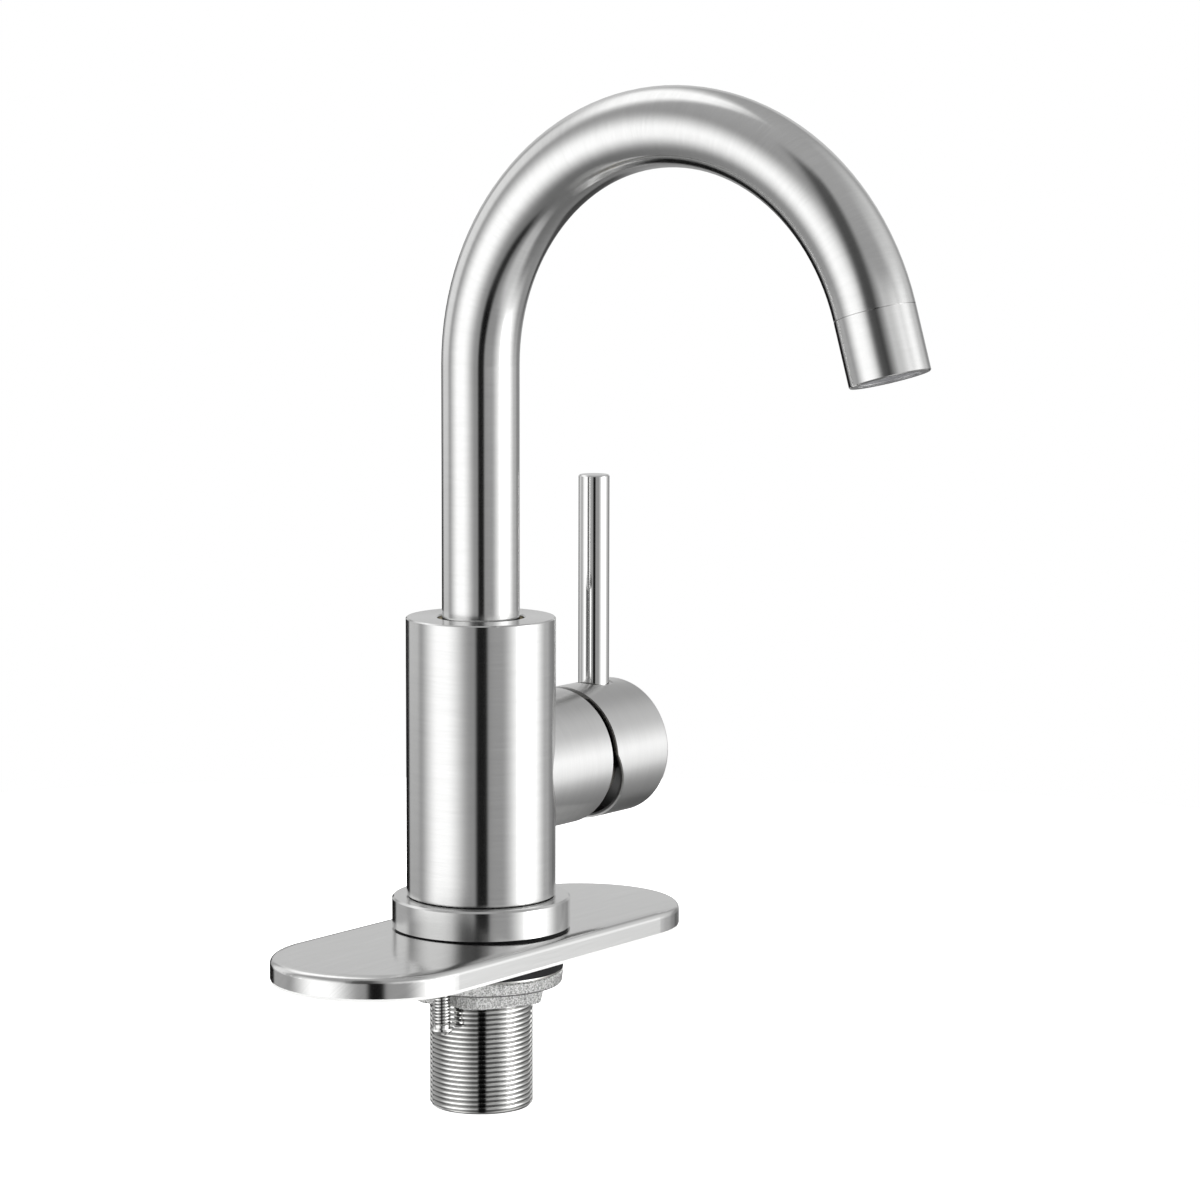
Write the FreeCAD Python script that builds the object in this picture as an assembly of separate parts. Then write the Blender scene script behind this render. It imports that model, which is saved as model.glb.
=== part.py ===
import FreeCAD, Part
import math
import os
from FreeCAD import Placement, Rotation, Vector

# Gooseneck bar faucet with a side lever, a deck plate and a threaded shank. Millimetres.
# +Z is up the shank, +X points at the lever and the spout reaches towards -Y.
# z = 0 is the underside of the deck plate's underlay, where the faucet meets the worktop.

# Deck plate and its plastic underlay
PLATE_LENGTH = 165.0
PLATE_WIDTH = 63.5
PLATE_TOP = 8.1
PLATE_SHOULDER = 7.6
PLATE_SHOULDER_RADIUS = 8.0
PLATE_BORDER = 3.2
PLATE_RIM_TOP = 6.9
PLATE_EDGE_RADIUS = 2.0
PLATE_WALL = 1.5
PLATE_CEILING = 6.2
UNDERLAY_RIM = 1.0
UNDERLAY_RIM_WIDTH = 3.0
UNDERLAY_INSET = 0.3
UNDERLAY_RECESS = 0.8
UNDERLAY_WEB = 1.4
UNDERLAY_RIB = 1.6
UNDERLAY_RIB_SPACING = 13.0
UNDERLAY_RIBS_PER_SIDE = 4

# Shank, below the deck
SHANK_RADIUS = 16.0
SHANK_BORE = 14.0
SHANK_BOTTOM = -48.0
SHANK_CHAMFER = 0.8
SHANK_RELIEF_DEPTH = 0.4
SHANK_RELIEF_WIDTH = 0.6
SHANK_CLEARANCE = 0.4

# Washers, mounting nut and its two jam screws
RUBBER_WASHER_RADIUS = 25.4
RUBBER_WASHER_BOTTOM = -4.6
STEEL_WASHER_RADIUS = 24.6
STEEL_WASHER_BOTTOM = -5.4
NUT_FLANGE_TOP_RADIUS = 25.4
NUT_FLANGE_LOW_RADIUS = 25.0
NUT_FLANGE_BOTTOM = -9.3
NUT_TOP_CORNER = 22.7
NUT_LOW_CORNER = 21.8
NUT_BOTTOM = -14.0
NUT_TURN = 34.6
NUT_CHAMFER = 0.4
JAM_SCREW_RADIUS = 2.7
JAM_SCREW_CIRCLE = 21.8
JAM_SCREW_TURN = 4.6
JAM_SCREW_POCKET = 4.7
JAM_SCREW_HEAD_RADIUS = 3.6
JAM_SCREW_HEAD_TOP = -20.0
JAM_SCREW_HEAD_HEIGHT = 1.8
JAM_SCREW_HEAD_BEVEL = 1.2
JAM_SCREW_SLOT_WIDTH = 1.0
JAM_SCREW_SLOT_DEPTH = 0.9
JAM_SCREW_SLOT_TURN = -45.0

# Base ring and the seals under and over it
BASE_SEAL_RADIUS = 26.7
BASE_SEAL_TOP = 9.3
BASE_RING_RADIUS = 27.5
BASE_RING_BOTTOM = 8.5
BASE_RING_TOP = 17.7
BASE_RING_CHAMFER = 0.6
BODY_GASKET_RADIUS = 21.8
BODY_GASKET_TOP = 18.7

# Body: a round column with a side branch for the cartridge
BODY_RADIUS = 23.0
BODY_BOTTOM = 17.9
BODY_TOP = 104.2
RIM_CHAMFER = 0.4
BRANCH_RADIUS = 21.5
BRANCH_AXIS = 56.0
BRANCH_END = 39.8
SHANK_SEAT = 30.2

# Waterways in the body
INLET_OFFSET = 7.4
INLET_RADIUS = 4.46
INLET_DEPTH = 12.0
RISER_RADIUS = 3.0
DRILL_OVERRUN = 0.6
PORT_RADIUS = 2.4
PORT_SIDE = 5.2
PORT_RISE = 4.2
MIX_PORT_RADIUS = 2.8
MIX_PORT_DROP = 2.2
MIX_RISER_OFFSET = 9.0
CHAMBER_RADIUS = 12.5
CHAMBER_FLOOR = 67.0

# Spout: neck, bend and outlet
TUBE_RADIUS = 11.9
TUBE_WALL = 1.0
NECK_TOP = 181.4
BEND_RADIUS = 72.2
BEND_ANGLE = 163.7
TIP_LENGTH = 19.4

# Swivel bearing between spout and body
SWIVEL_BORE = 13.4
SWIVEL_SEAT = 89.0
THRUST_WASHER_TOP = 90.3
SPIGOT_FLANGE_RADIUS = 12.9
SPIGOT_FLANGE_BOTTOM = 90.35
SPIGOT_FLANGE_TOP = 94.3
BEARING_BOTTOM = 94.4
BEARING_TOP = 98.4
GLAND_TOP = 101.2
GLAND_SLOTS = 4
GLAND_SLOT_WIDTH = 2.0
GLAND_SLOT_DEPTH = 1.2
RUNNING_GAP = 0.05
SPIGOT_RADIUS = 12.3
SPIGOT_BORE = 8.5
SPIGOT_BOTTOM = 74.0
SPIGOT_PLUG_TOP = 104.0
O_RING_SECTION = 1.0
O_RING_HEIGHTS = (79.0, 85.0)
O_RING_GROOVE = 2.6

# Outlet: lengths are measured along the tip from the end of the bend
NIPPLE_INSERT = 6.0
NIPPLE_LENGTH = 8.0
NIPPLE_BORE = 8.0
SLEEVE_BORE = 10.3
SLEEVE_LIP = 1.8
SLEEVE_LIP_BORE = 9.5
SLEEVE_CHAMFER = 0.3
JOINT_CHAMFER = 0.15
AERATOR_SEAL = 1.5
AERATOR_WALL = 1.2
AERATOR_SETBACK = 0.6
AERATOR_CROWN = 2.0
SCREEN_SETBACK = 1.4
SCREEN_THICKNESS = 1.2
SCREEN_CELL = 1.0
SCREEN_PITCH = 2.3
SCREEN_RINGS = 3

# Cartridge, 35 mm size: positions are distances from the shank axis along the branch
CARTRIDGE_FLOOR = 14.5
CARTRIDGE_RADIUS = 17.5
CARTRIDGE_BORE = 17.55
CARTRIDGE_SHOULDER = 35.5
CARTRIDGE_NECK_RADIUS = 15.2
CARTRIDGE_NECK_END = 41.0
CARTRIDGE_CAVITY = 14.7
CARTRIDGE_CEILING = 34.5
BASE_THICKNESS = 4.0
PORT_SEAL_RADIUS = 3.9
PORT_SEAL_BORE = 2.9
PORT_SEAL_THICKNESS = 1.5
DISC_THICKNESS = 4.0
DISC_GAP = 0.03
FIXED_DISC_RADIUS = 14.6
MOVING_DISC_RADIUS = 10.0
MIX_POCKET_RADIUS = 8.4
MIX_POCKET_DEPTH = 1.8
MIX_POCKET_EDGE = 0.8
CARRIER_TOP = 32.0
CARRIER_POCKET_FLOOR = 27.4
ROTOR_BOTTOM = 32.2
ROTOR_FLANGE_RADIUS = 14.6
ROTOR_FLANGE_TOP = 34.4
ROTOR_RADIUS = 11.25
ROTOR_HOLE = 11.3
ROTOR_END = 44.6
ROTOR_SLOT_HALF_WIDTH = 4.0
ROTOR_SLOT_LOW = -6.8
ROTOR_SLOT_HIGH = 7.4
PIVOT = 41.0
PIVOT_PIN_RADIUS = 1.5
PIVOT_PIN_HALF_LENGTH = 10.4
CARTRIDGE_NUT_RADIUS = 19.2
CARTRIDGE_NUT_BORE = 15.3
CARTRIDGE_NUT_RIM_RADIUS = 18.4
CARTRIDGE_NUT_END = 45.5
CARTRIDGE_NUT_NOTCHES = 8
CARTRIDGE_NUT_NOTCH_WIDTH = 4.0
CARTRIDGE_NUT_NOTCH_DEPTH = 4.2

# Stem that the handle turns and tilts
STEM_HALF_HEIGHT = 4.0
STEM_HALF_WIDTH = 3.9
STEM_SHOULDER = 35.5
STEM_END = 62.0
STEM_NECK_RADIUS = 1.8
STEM_ARM = 10.5
STEM_BALL_RADIUS = 2.6
STEM_BALL_GAP = 0.12

# Handle: cap, rod and set screw
CAP_RADIUS = 21.5
CAP_RIM = 42.3
CAP_END = 69.4
CAP_WALL = 1.3
CAP_END_WALL = 4.0
CAP_EDGE_RADIUS = 1.0
CAP_BOSS_RADIUS = 8.0
CAP_BOSS_START = 52.0
RELIEF_TOP = (41.9, 2.6)
RELIEF_MIDDLE = (47.4, -9.0)
RELIEF_BOTTOM = (50.6, -22.0)
ROD_RADIUS = 4.9
ROD_POSITION = 58.0
ROD_TOP = 143.6
ROD_CHAMFER = 0.4
ROD_SEAT = 20.6
ROD_SPOT_FACE = 6.0
ROD_TAIL_RADIUS = 3.0
ROD_TAIL_END = 10.0
ROD_COLUMN_RADIUS = 5.9
SET_SCREW_LENGTH = 5.0
SET_SCREW_SOCKET = 1.5
SET_SCREW_SOCKET_DEPTH = 2.5

ORIGIN = Vector(0, 0, 0)
UP = Vector(0, 0, 1)
SIDEWAYS = Vector(1, 0, 0)
ACROSS = Vector(0, 1, 0)
REACH = 40.0
HALF_TURN = 180.0
FULL_TURN = 360.0
HEXAGON_CORNERS = 6

BRANCH_START = Vector(0, 0, BRANCH_AXIS)
NOZZLE_START = Vector(
    0,
    -BEND_RADIUS + BEND_RADIUS * math.cos(math.radians(BEND_ANGLE)),
    NECK_TOP + BEND_RADIUS * math.sin(math.radians(BEND_ANGLE)),
)
NOZZLE_DIRECTION = Vector(
    0,
    -math.sin(math.radians(BEND_ANGLE)),
    math.cos(math.radians(BEND_ANGLE)),
)
FIXED_DISC_START = CARTRIDGE_FLOOR + BASE_THICKNESS
FIXED_DISC_END = FIXED_DISC_START + DISC_THICKNESS
MOVING_DISC_END = FIXED_DISC_END + DISC_THICKNESS - DISC_GAP
PORTS = (
    (PORT_SIDE, PORT_RISE, PORT_RADIUS),
    (-PORT_SIDE, PORT_RISE, PORT_RADIUS),
    (0.0, -MIX_PORT_DROP, MIX_PORT_RADIUS),
)
AERATOR_START = NIPPLE_LENGTH + AERATOR_SEAL
AERATOR_BORE = SLEEVE_LIP_BORE - AERATOR_WALL


def flat_face(corners):
    return Part.Face(Part.makePolygon(corners + corners[:1]))


def turned(profile, start=ORIGIN, axis=UP):
    """A lathe-turned solid: profile holds (radius, distance along the axis) corners."""
    corners = [Vector(radius, 0, along) for radius, along in profile]
    solid = flat_face(corners).revolve(ORIGIN, UP, FULL_TURN)
    solid.Placement = Placement(start, Rotation(UP, axis))
    return solid


def rod(radius, low, high, start=ORIGIN, axis=UP):
    """A plain round bar between two distances along an axis."""
    return Part.makeCylinder(radius, high - low, start + axis * low, axis)


def ring(radius, bore, low, high, start=ORIGIN, axis=UP):
    """A plain washer shape."""
    return rod(radius, low, high, start, axis).cut(rod(bore, low, high, start, axis))


def block(low, high):
    """A box between two opposite corners."""
    size = Vector(*high) - Vector(*low)
    return Part.makeBox(size.x, size.y, size.z, Vector(*low))


def around(shape, count, centre=ORIGIN, axis=UP):
    """Copies of a shape at equal angles about an axis."""
    copies = []
    for step in range(count):
        copy = shape.copy()
        copy.rotate(centre, axis, step * FULL_TURN / count)
        copies.append(copy)
    return copies


def stadium(length, width, low, high):
    """A flat bar with half-round ends, lengthways along X."""
    half_run = (length - width) / 2
    half_width = width / 2
    front = [Vector(-half_run, -half_width, low), Vector(half_run, -half_width, low)]
    back = [Vector(half_run, half_width, low), Vector(-half_run, half_width, low)]
    edges = [
        Part.LineSegment(*front).toShape(),
        Part.Arc(front[1], Vector(length / 2, 0, low), back[0]).toShape(),
        Part.LineSegment(*back).toShape(),
        Part.Arc(back[1], Vector(-length / 2, 0, low), front[0]).toShape(),
    ]
    return Part.Face(Part.Wire(edges)).extrude(UP * (high - low))


def hexagon_corners(corner_radius, height, turn=0.0):
    """Six points on a circle; turn swings the first away from +X, in degrees."""
    corners = []
    for corner in around(Part.Vertex(corner_radius, 0, height), HEXAGON_CORNERS):
        corner.rotate(ORIGIN, UP, turn)
        corners.append(corner.Point)
    return corners


def hexagon(corner_radius, low, high):
    """A six-sided bar with a corner on +X."""
    return flat_face(hexagon_corners(corner_radius, low)).extrude(UP * (high - low))


def tapered_hexagon(low_radius, high_radius, low, high, turn):
    """A six-sided bar with draft on its flats; the radii are those of its corners."""
    bottom = hexagon_corners(low_radius, low, turn)
    top = hexagon_corners(high_radius, high, turn)
    faces = [flat_face(bottom), flat_face(top)]
    for place in range(HEXAGON_CORNERS):
        faces.append(flat_face([bottom[place - 1], bottom[place], top[place], top[place - 1]]))
    return Part.makeSolid(Part.makeShell(faces))


def rounding(before, corner, after, radius):
    """The tangent arc that rounds a corner between two straight runs."""
    back = (before - corner).normalize()
    onward = (after - corner).normalize()
    half_angle = back.getAngle(onward) / 2
    inward = (back + onward).normalize()
    reach = radius / math.tan(half_angle)
    nearest = corner + inward * (radius / math.sin(half_angle) - radius)
    return Part.Arc(corner + back * reach, nearest, corner + onward * reach)


# ---------------------------------------------------------------- deck and mounting


def plate_half_section():
    """Half of the plate across its width: wall, rolled edge, sloping border, crowned top."""
    half_width = PLATE_WIDTH / 2
    middle_low = Vector(0, 0, UNDERLAY_RIM)
    middle_top = Vector(0, 0, PLATE_TOP)
    foot = Vector(half_width, 0, UNDERLAY_RIM)
    rim = Vector(half_width, 0, PLATE_RIM_TOP)
    shoulder = Vector(half_width - PLATE_BORDER, 0, PLATE_SHOULDER)
    rolled_edge = rounding(foot, rim, shoulder, PLATE_EDGE_RADIUS)
    crease = rounding(rim, shoulder, middle_top, PLATE_SHOULDER_RADIUS)
    crown_foot = crease.EndPoint
    crown_fall = PLATE_TOP - crown_foot.z
    crown_radius = (crown_foot.x**2 + crown_fall**2) / (2 * crown_fall)
    halfway = crown_foot.x / 2
    halfway_fall = crown_radius - math.sqrt(crown_radius**2 - halfway**2)
    crown = Part.Arc(crown_foot, Vector(halfway, 0, PLATE_TOP - halfway_fall), middle_top)
    outline = [
        Part.LineSegment(middle_low, foot),
        Part.LineSegment(foot, rolled_edge.StartPoint),
        rolled_edge,
        Part.LineSegment(rolled_edge.EndPoint, crease.StartPoint),
        crease,
        crown,
        Part.LineSegment(middle_top, middle_low),
    ]
    return Part.Face(Part.Wire([curve.toShape() for curve in outline]))


def plate_outside():
    """The plate's outer form: its section run lengthways and turned about the two ends."""
    half_run = (PLATE_LENGTH - PLATE_WIDTH) / 2
    parts = []
    for side in (1, -1):
        end = SIDEWAYS * (side * half_run)
        section = plate_half_section()
        section.rotate(ORIGIN, UP, -side * HALF_TURN / 2)
        section.translate(end)
        parts.append(section.revolve(end, UP, HALF_TURN))
        parts.append(section.extrude(end * -2))
    return parts[0].multiFuse(parts[1:]).removeSplitter()


def deck_plate():
    """A pressed plate, a little crowned, with rolled edges and open underneath."""
    inside = stadium(
        PLATE_LENGTH - 2 * PLATE_WALL,
        PLATE_WIDTH - 2 * PLATE_WALL,
        UNDERLAY_RIM,
        PLATE_CEILING,
    )
    hole = rod(SHANK_RADIUS + SHANK_CLEARANCE, UNDERLAY_RIM, PLATE_TOP)
    return plate_outside().cut(inside).cut(hole)


def deck_plate_underlay():
    """The moulded tray in the plate: a rim that meets the deck, a web and ribs."""
    rim_length = PLATE_LENGTH - 2 * UNDERLAY_INSET
    rim_width = PLATE_WIDTH - 2 * UNDERLAY_INSET
    tray_length = PLATE_LENGTH - 2 * PLATE_WALL - 2 * UNDERLAY_INSET
    tray_width = PLATE_WIDTH - 2 * PLATE_WALL - 2 * UNDERLAY_INSET
    web_top = UNDERLAY_RECESS + UNDERLAY_WEB
    rib_top = PLATE_CEILING
    recess = stadium(
        rim_length - 2 * UNDERLAY_RIM_WIDTH,
        rim_width - 2 * UNDERLAY_RIM_WIDTH,
        0,
        UNDERLAY_RECESS,
    )
    rim = stadium(rim_length, rim_width, 0, UNDERLAY_RIM).cut(recess)
    web = stadium(tray_length, tray_width, UNDERLAY_RECESS, web_top)
    wall = stadium(tray_length, tray_width, web_top, rib_top).cut(
        stadium(
            tray_length - 2 * UNDERLAY_RIB,
            tray_width - 2 * UNDERLAY_RIB,
            web_top,
            rib_top,
        )
    )
    hole_radius = SHANK_RADIUS + 2 * SHANK_CLEARANCE
    collar = ring(hole_radius + UNDERLAY_RIB, hole_radius, web_top, rib_top)
    half_rib = UNDERLAY_RIB / 2
    ribs = []
    for side in (-1, 1):
        for number in range(1, UNDERLAY_RIBS_PER_SIDE + 1):
            middle = side * (hole_radius + number * UNDERLAY_RIB_SPACING)
            reach = tray_width / 2
            overhang = abs(middle) - (tray_length - tray_width) / 2
            if overhang > 0:
                reach = math.sqrt(reach**2 - overhang**2)
            half_run = reach - UNDERLAY_RIB
            low = (middle - half_rib, -half_run, web_top)
            ribs.append(block(low, (middle + half_rib, half_run, rib_top)))
    solid = rim.multiFuse([web, wall, collar] + ribs)
    return solid.cut(rod(hole_radius, 0, rib_top)).removeSplitter()


def threaded_shank():
    """A hollow shank that screws into the body; its thread is cut to below the nut."""
    relief_top = NUT_BOTTOM
    relief_bottom = NUT_BOTTOM - SHANK_RELIEF_WIDTH
    relief_radius = SHANK_RADIUS - SHANK_RELIEF_DEPTH
    return turned(
        [
            (SHANK_BORE, SHANK_BOTTOM),
            (SHANK_RADIUS - SHANK_CHAMFER, SHANK_BOTTOM),
            (SHANK_RADIUS, SHANK_BOTTOM + SHANK_CHAMFER),
            (SHANK_RADIUS, relief_bottom),
            (relief_radius, relief_bottom),
            (relief_radius, relief_top),
            (SHANK_RADIUS, relief_top),
            (SHANK_RADIUS, SHANK_SEAT),
            (SHANK_BORE, SHANK_SEAT),
        ]
    )


def rubber_washer():
    bore = SHANK_RADIUS + SHANK_CLEARANCE
    return ring(RUBBER_WASHER_RADIUS, bore, RUBBER_WASHER_BOTTOM, UNDERLAY_RECESS)


def steel_washer():
    bore = SHANK_RADIUS + SHANK_CLEARANCE
    return ring(STEEL_WASHER_RADIUS, bore, STEEL_WASHER_BOTTOM, RUBBER_WASHER_BOTTOM)


def jam_screw_centres():
    centres = []
    for turn in (JAM_SCREW_TURN, JAM_SCREW_TURN + HALF_TURN):
        angle = math.radians(turn)
        centres.append(Vector(math.cos(angle), math.sin(angle), 0) * JAM_SCREW_CIRCLE)
    return centres


def mounting_nut():
    """A cast nut: a flange over a hexagon, tapped and pocketed for two jam screws."""
    spanner_flats = tapered_hexagon(
        NUT_LOW_CORNER, NUT_TOP_CORNER, NUT_BOTTOM, NUT_FLANGE_BOTTOM, NUT_TURN
    )
    eased = turned(
        [
            (0, NUT_BOTTOM),
            (NUT_LOW_CORNER - 2 * NUT_CHAMFER, NUT_BOTTOM),
            (NUT_LOW_CORNER, NUT_BOTTOM + NUT_CHAMFER),
            (NUT_TOP_CORNER, NUT_FLANGE_BOTTOM),
            (0, NUT_FLANGE_BOTTOM),
        ]
    )
    flange = turned(
        [
            (0, NUT_FLANGE_BOTTOM),
            (NUT_FLANGE_LOW_RADIUS - NUT_CHAMFER, NUT_FLANGE_BOTTOM),
            (NUT_FLANGE_LOW_RADIUS, NUT_FLANGE_BOTTOM + NUT_CHAMFER),
            (NUT_FLANGE_TOP_RADIUS, STEEL_WASHER_BOTTOM - NUT_CHAMFER),
            (NUT_FLANGE_TOP_RADIUS - NUT_CHAMFER, STEEL_WASHER_BOTTOM),
            (0, STEEL_WASHER_BOTTOM),
        ]
    )
    nut = flange.fuse(spanner_flats.common(eased))
    nut = nut.cut(rod(SHANK_RADIUS, NUT_BOTTOM, STEEL_WASHER_BOTTOM))
    for centre in jam_screw_centres():
        nut = nut.cut(rod(JAM_SCREW_POCKET, NUT_BOTTOM, NUT_FLANGE_BOTTOM, centre))
        nut = nut.cut(rod(JAM_SCREW_RADIUS, NUT_FLANGE_BOTTOM, STEEL_WASHER_BOTTOM, centre))
    return nut


def jam_screws():
    """Two slotted screws that bear on the steel washer and lock the nut."""
    head_bottom = JAM_SCREW_HEAD_TOP - JAM_SCREW_HEAD_HEIGHT
    screws = []
    for centre in jam_screw_centres():
        screw = turned(
            [
                (0, head_bottom),
                (JAM_SCREW_RADIUS, head_bottom),
                (JAM_SCREW_HEAD_RADIUS, head_bottom + JAM_SCREW_HEAD_BEVEL),
                (JAM_SCREW_HEAD_RADIUS, JAM_SCREW_HEAD_TOP),
                (JAM_SCREW_RADIUS, JAM_SCREW_HEAD_TOP),
                (JAM_SCREW_RADIUS, STEEL_WASHER_BOTTOM),
                (0, STEEL_WASHER_BOTTOM),
            ],
            centre,
        )
        half_slot = JAM_SCREW_SLOT_WIDTH / 2
        slot = block(
            (-half_slot, -JAM_SCREW_HEAD_RADIUS, head_bottom),
            (half_slot, JAM_SCREW_HEAD_RADIUS, head_bottom + JAM_SCREW_SLOT_DEPTH),
        )
        slot.rotate(ORIGIN, UP, JAM_SCREW_SLOT_TURN)
        slot.translate(centre)
        screws.append(screw.cut(slot))
    return Part.makeCompound(screws)


def base_seal():
    """The seal in the foot ring's recess, pressed to the plate's crown."""
    bore = SHANK_RADIUS + SHANK_CLEARANCE
    return ring(BASE_SEAL_RADIUS, bore, PLATE_SHOULDER, BASE_SEAL_TOP).cut(plate_outside())


def base_ring():
    """The turned foot ring between the deck plate and the body, recessed for its seal."""
    bore = SHANK_RADIUS + SHANK_CLEARANCE
    return turned(
        [
            (bore, BASE_SEAL_TOP),
            (BASE_SEAL_RADIUS, BASE_SEAL_TOP),
            (BASE_SEAL_RADIUS, BASE_RING_BOTTOM),
            (BASE_RING_RADIUS, BASE_RING_BOTTOM),
            (BASE_RING_RADIUS, BASE_RING_TOP - BASE_RING_CHAMFER),
            (BASE_RING_RADIUS - BASE_RING_CHAMFER, BASE_RING_TOP),
            (bore, BASE_RING_TOP),
        ]
    )


def body_gasket():
    bore = SHANK_RADIUS + SHANK_CLEARANCE
    return ring(BODY_GASKET_RADIUS, bore, BASE_RING_TOP, BODY_GASKET_TOP)


# ---------------------------------------------------------------- body


def body_outside():
    """The column and the side branch, with lightly broken rims."""
    column = turned(
        [
            (0, BODY_BOTTOM),
            (BODY_RADIUS - RIM_CHAMFER, BODY_BOTTOM),
            (BODY_RADIUS, BODY_BOTTOM + RIM_CHAMFER),
            (BODY_RADIUS, BODY_TOP - RIM_CHAMFER),
            (BODY_RADIUS - RIM_CHAMFER, BODY_TOP),
            (0, BODY_TOP),
        ]
    )
    branch = turned(
        [
            (0, 0),
            (BRANCH_RADIUS, 0),
            (BRANCH_RADIUS, BRANCH_END - RIM_CHAMFER),
            (BRANCH_RADIUS - RIM_CHAMFER, BRANCH_END),
            (0, BRANCH_END),
        ],
        BRANCH_START,
        SIDEWAYS,
    )
    return column.fuse(branch)


def swivel_bores():
    """The mouth that the spout turns in, and the chamber under it."""
    mouth = turned(
        [
            (0, SWIVEL_SEAT),
            (SWIVEL_BORE, SWIVEL_SEAT),
            (SWIVEL_BORE, BODY_TOP - RIM_CHAMFER),
            (SWIVEL_BORE + RIM_CHAMFER, BODY_TOP),
            (0, BODY_TOP),
        ]
    )
    return [mouth, rod(CHAMBER_RADIUS, CHAMBER_FLOOR, SWIVEL_SEAT)]


def cartridge_bores():
    """The branch's bore for the cartridge, and the wider thread for its nut."""
    seat = rod(CARTRIDGE_BORE, CARTRIDGE_FLOOR, CARTRIDGE_SHOULDER, BRANCH_START, SIDEWAYS)
    thread = rod(CARTRIDGE_NUT_RADIUS, CARTRIDGE_SHOULDER, BRANCH_END, BRANCH_START, SIDEWAYS)
    return [seat, thread]


def waterways():
    """Hot and cold run from the inlets up to the cartridge; mixed runs to the chamber."""
    inlet_top = SHANK_SEAT + INLET_DEPTH
    port_height = BRANCH_AXIS + PORT_RISE
    mix_height = BRANCH_AXIS - MIX_PORT_DROP
    ways = []
    for side in (-1, 1):
        inlet = ACROSS * (side * INLET_OFFSET)
        ways.append(rod(INLET_RADIUS, SHANK_SEAT, inlet_top, inlet))
        riser_top = port_height + PORT_RADIUS + DRILL_OVERRUN
        ways.append(rod(RISER_RADIUS, inlet_top, riser_top, inlet))
        port = Vector(0, side * PORT_SIDE, port_height)
        ways.append(rod(PORT_RADIUS, 0, CARTRIDGE_FLOOR, port, SIDEWAYS))
    mix_riser = Vector(-MIX_RISER_OFFSET, 0, 0)
    mix_corner = mix_riser + UP * mix_height
    mix_length = CARTRIDGE_FLOOR + MIX_RISER_OFFSET
    ways.append(rod(MIX_PORT_RADIUS, 0, mix_length, mix_corner, SIDEWAYS))
    mix_riser_foot = mix_height - MIX_PORT_RADIUS - DRILL_OVERRUN
    ways.append(rod(RISER_RADIUS, mix_riser_foot, CHAMBER_FLOOR, mix_riser))
    return ways


def body_casting():
    body = body_outside()
    shank_seat = rod(SHANK_RADIUS, BODY_BOTTOM, SHANK_SEAT)
    gasket_recess = rod(BODY_GASKET_RADIUS, BODY_BOTTOM, BODY_GASKET_TOP)
    foot_bores = [shank_seat, gasket_recess]
    for bore in swivel_bores() + cartridge_bores() + waterways() + foot_bores:
        body = body.cut(bore)
    return body


# ---------------------------------------------------------------- spout


def bent_bar(radius, foot):
    """A round bar that climbs the neck and follows the bend."""
    neck = rod(radius, foot, NECK_TOP)
    section = Part.Face(Part.Wire(Part.makeCircle(radius, UP * NECK_TOP, UP)))
    bend = section.revolve(Vector(0, -BEND_RADIUS, NECK_TOP), SIDEWAYS, BEND_ANGLE)
    return neck.fuse(bend)


def spout_tube():
    """The gooseneck tube, its end lightly broken where the sleeve meets it."""
    tube = bent_bar(TUBE_RADIUS, SPIGOT_FLANGE_TOP)
    tube = tube.cut(bent_bar(TUBE_RADIUS - TUBE_WALL, SPIGOT_FLANGE_TOP))
    outside = TUBE_RADIUS + JOINT_CHAMFER
    broken_edge = nozzle_part(
        [
            (TUBE_RADIUS - JOINT_CHAMFER, 0),
            (outside, 0),
            (outside, -2 * JOINT_CHAMFER),
        ]
    )
    return tube.cut(broken_edge)


def spout_spigot():
    """The turned foot that is brazed in the tube and seals in the body."""
    groove_bottom = SPIGOT_RADIUS - 2 * O_RING_SECTION
    half_groove = O_RING_GROOVE / 2
    profile = [(SPIGOT_BORE, SPIGOT_BOTTOM), (SPIGOT_RADIUS, SPIGOT_BOTTOM)]
    for height in O_RING_HEIGHTS:
        profile += [
            (SPIGOT_RADIUS, height - half_groove),
            (groove_bottom, height - half_groove),
            (groove_bottom, height + half_groove),
            (SPIGOT_RADIUS, height + half_groove),
        ]
    profile += [
        (SPIGOT_RADIUS, SPIGOT_FLANGE_BOTTOM),
        (SPIGOT_FLANGE_RADIUS, SPIGOT_FLANGE_BOTTOM),
        (SPIGOT_FLANGE_RADIUS, SPIGOT_FLANGE_TOP),
        (TUBE_RADIUS - TUBE_WALL, SPIGOT_FLANGE_TOP),
        (TUBE_RADIUS - TUBE_WALL, SPIGOT_PLUG_TOP),
        (SPIGOT_BORE, SPIGOT_PLUG_TOP),
    ]
    return turned(profile)


def spigot_o_ring(height):
    """An O-ring that fills its groove and just clears the chamber wall."""
    centre_radius = CHAMBER_RADIUS - RUNNING_GAP - O_RING_SECTION
    return Part.makeTorus(centre_radius, O_RING_SECTION, UP * height, UP)


def spout_thrust_washer():
    bore = SPIGOT_RADIUS + RUNNING_GAP
    return ring(SWIVEL_BORE, bore, SWIVEL_SEAT, THRUST_WASHER_TOP)


def spout_bearing():
    return ring(SWIVEL_BORE, TUBE_RADIUS + RUNNING_GAP, BEARING_BOTTOM, BEARING_TOP)


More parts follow.
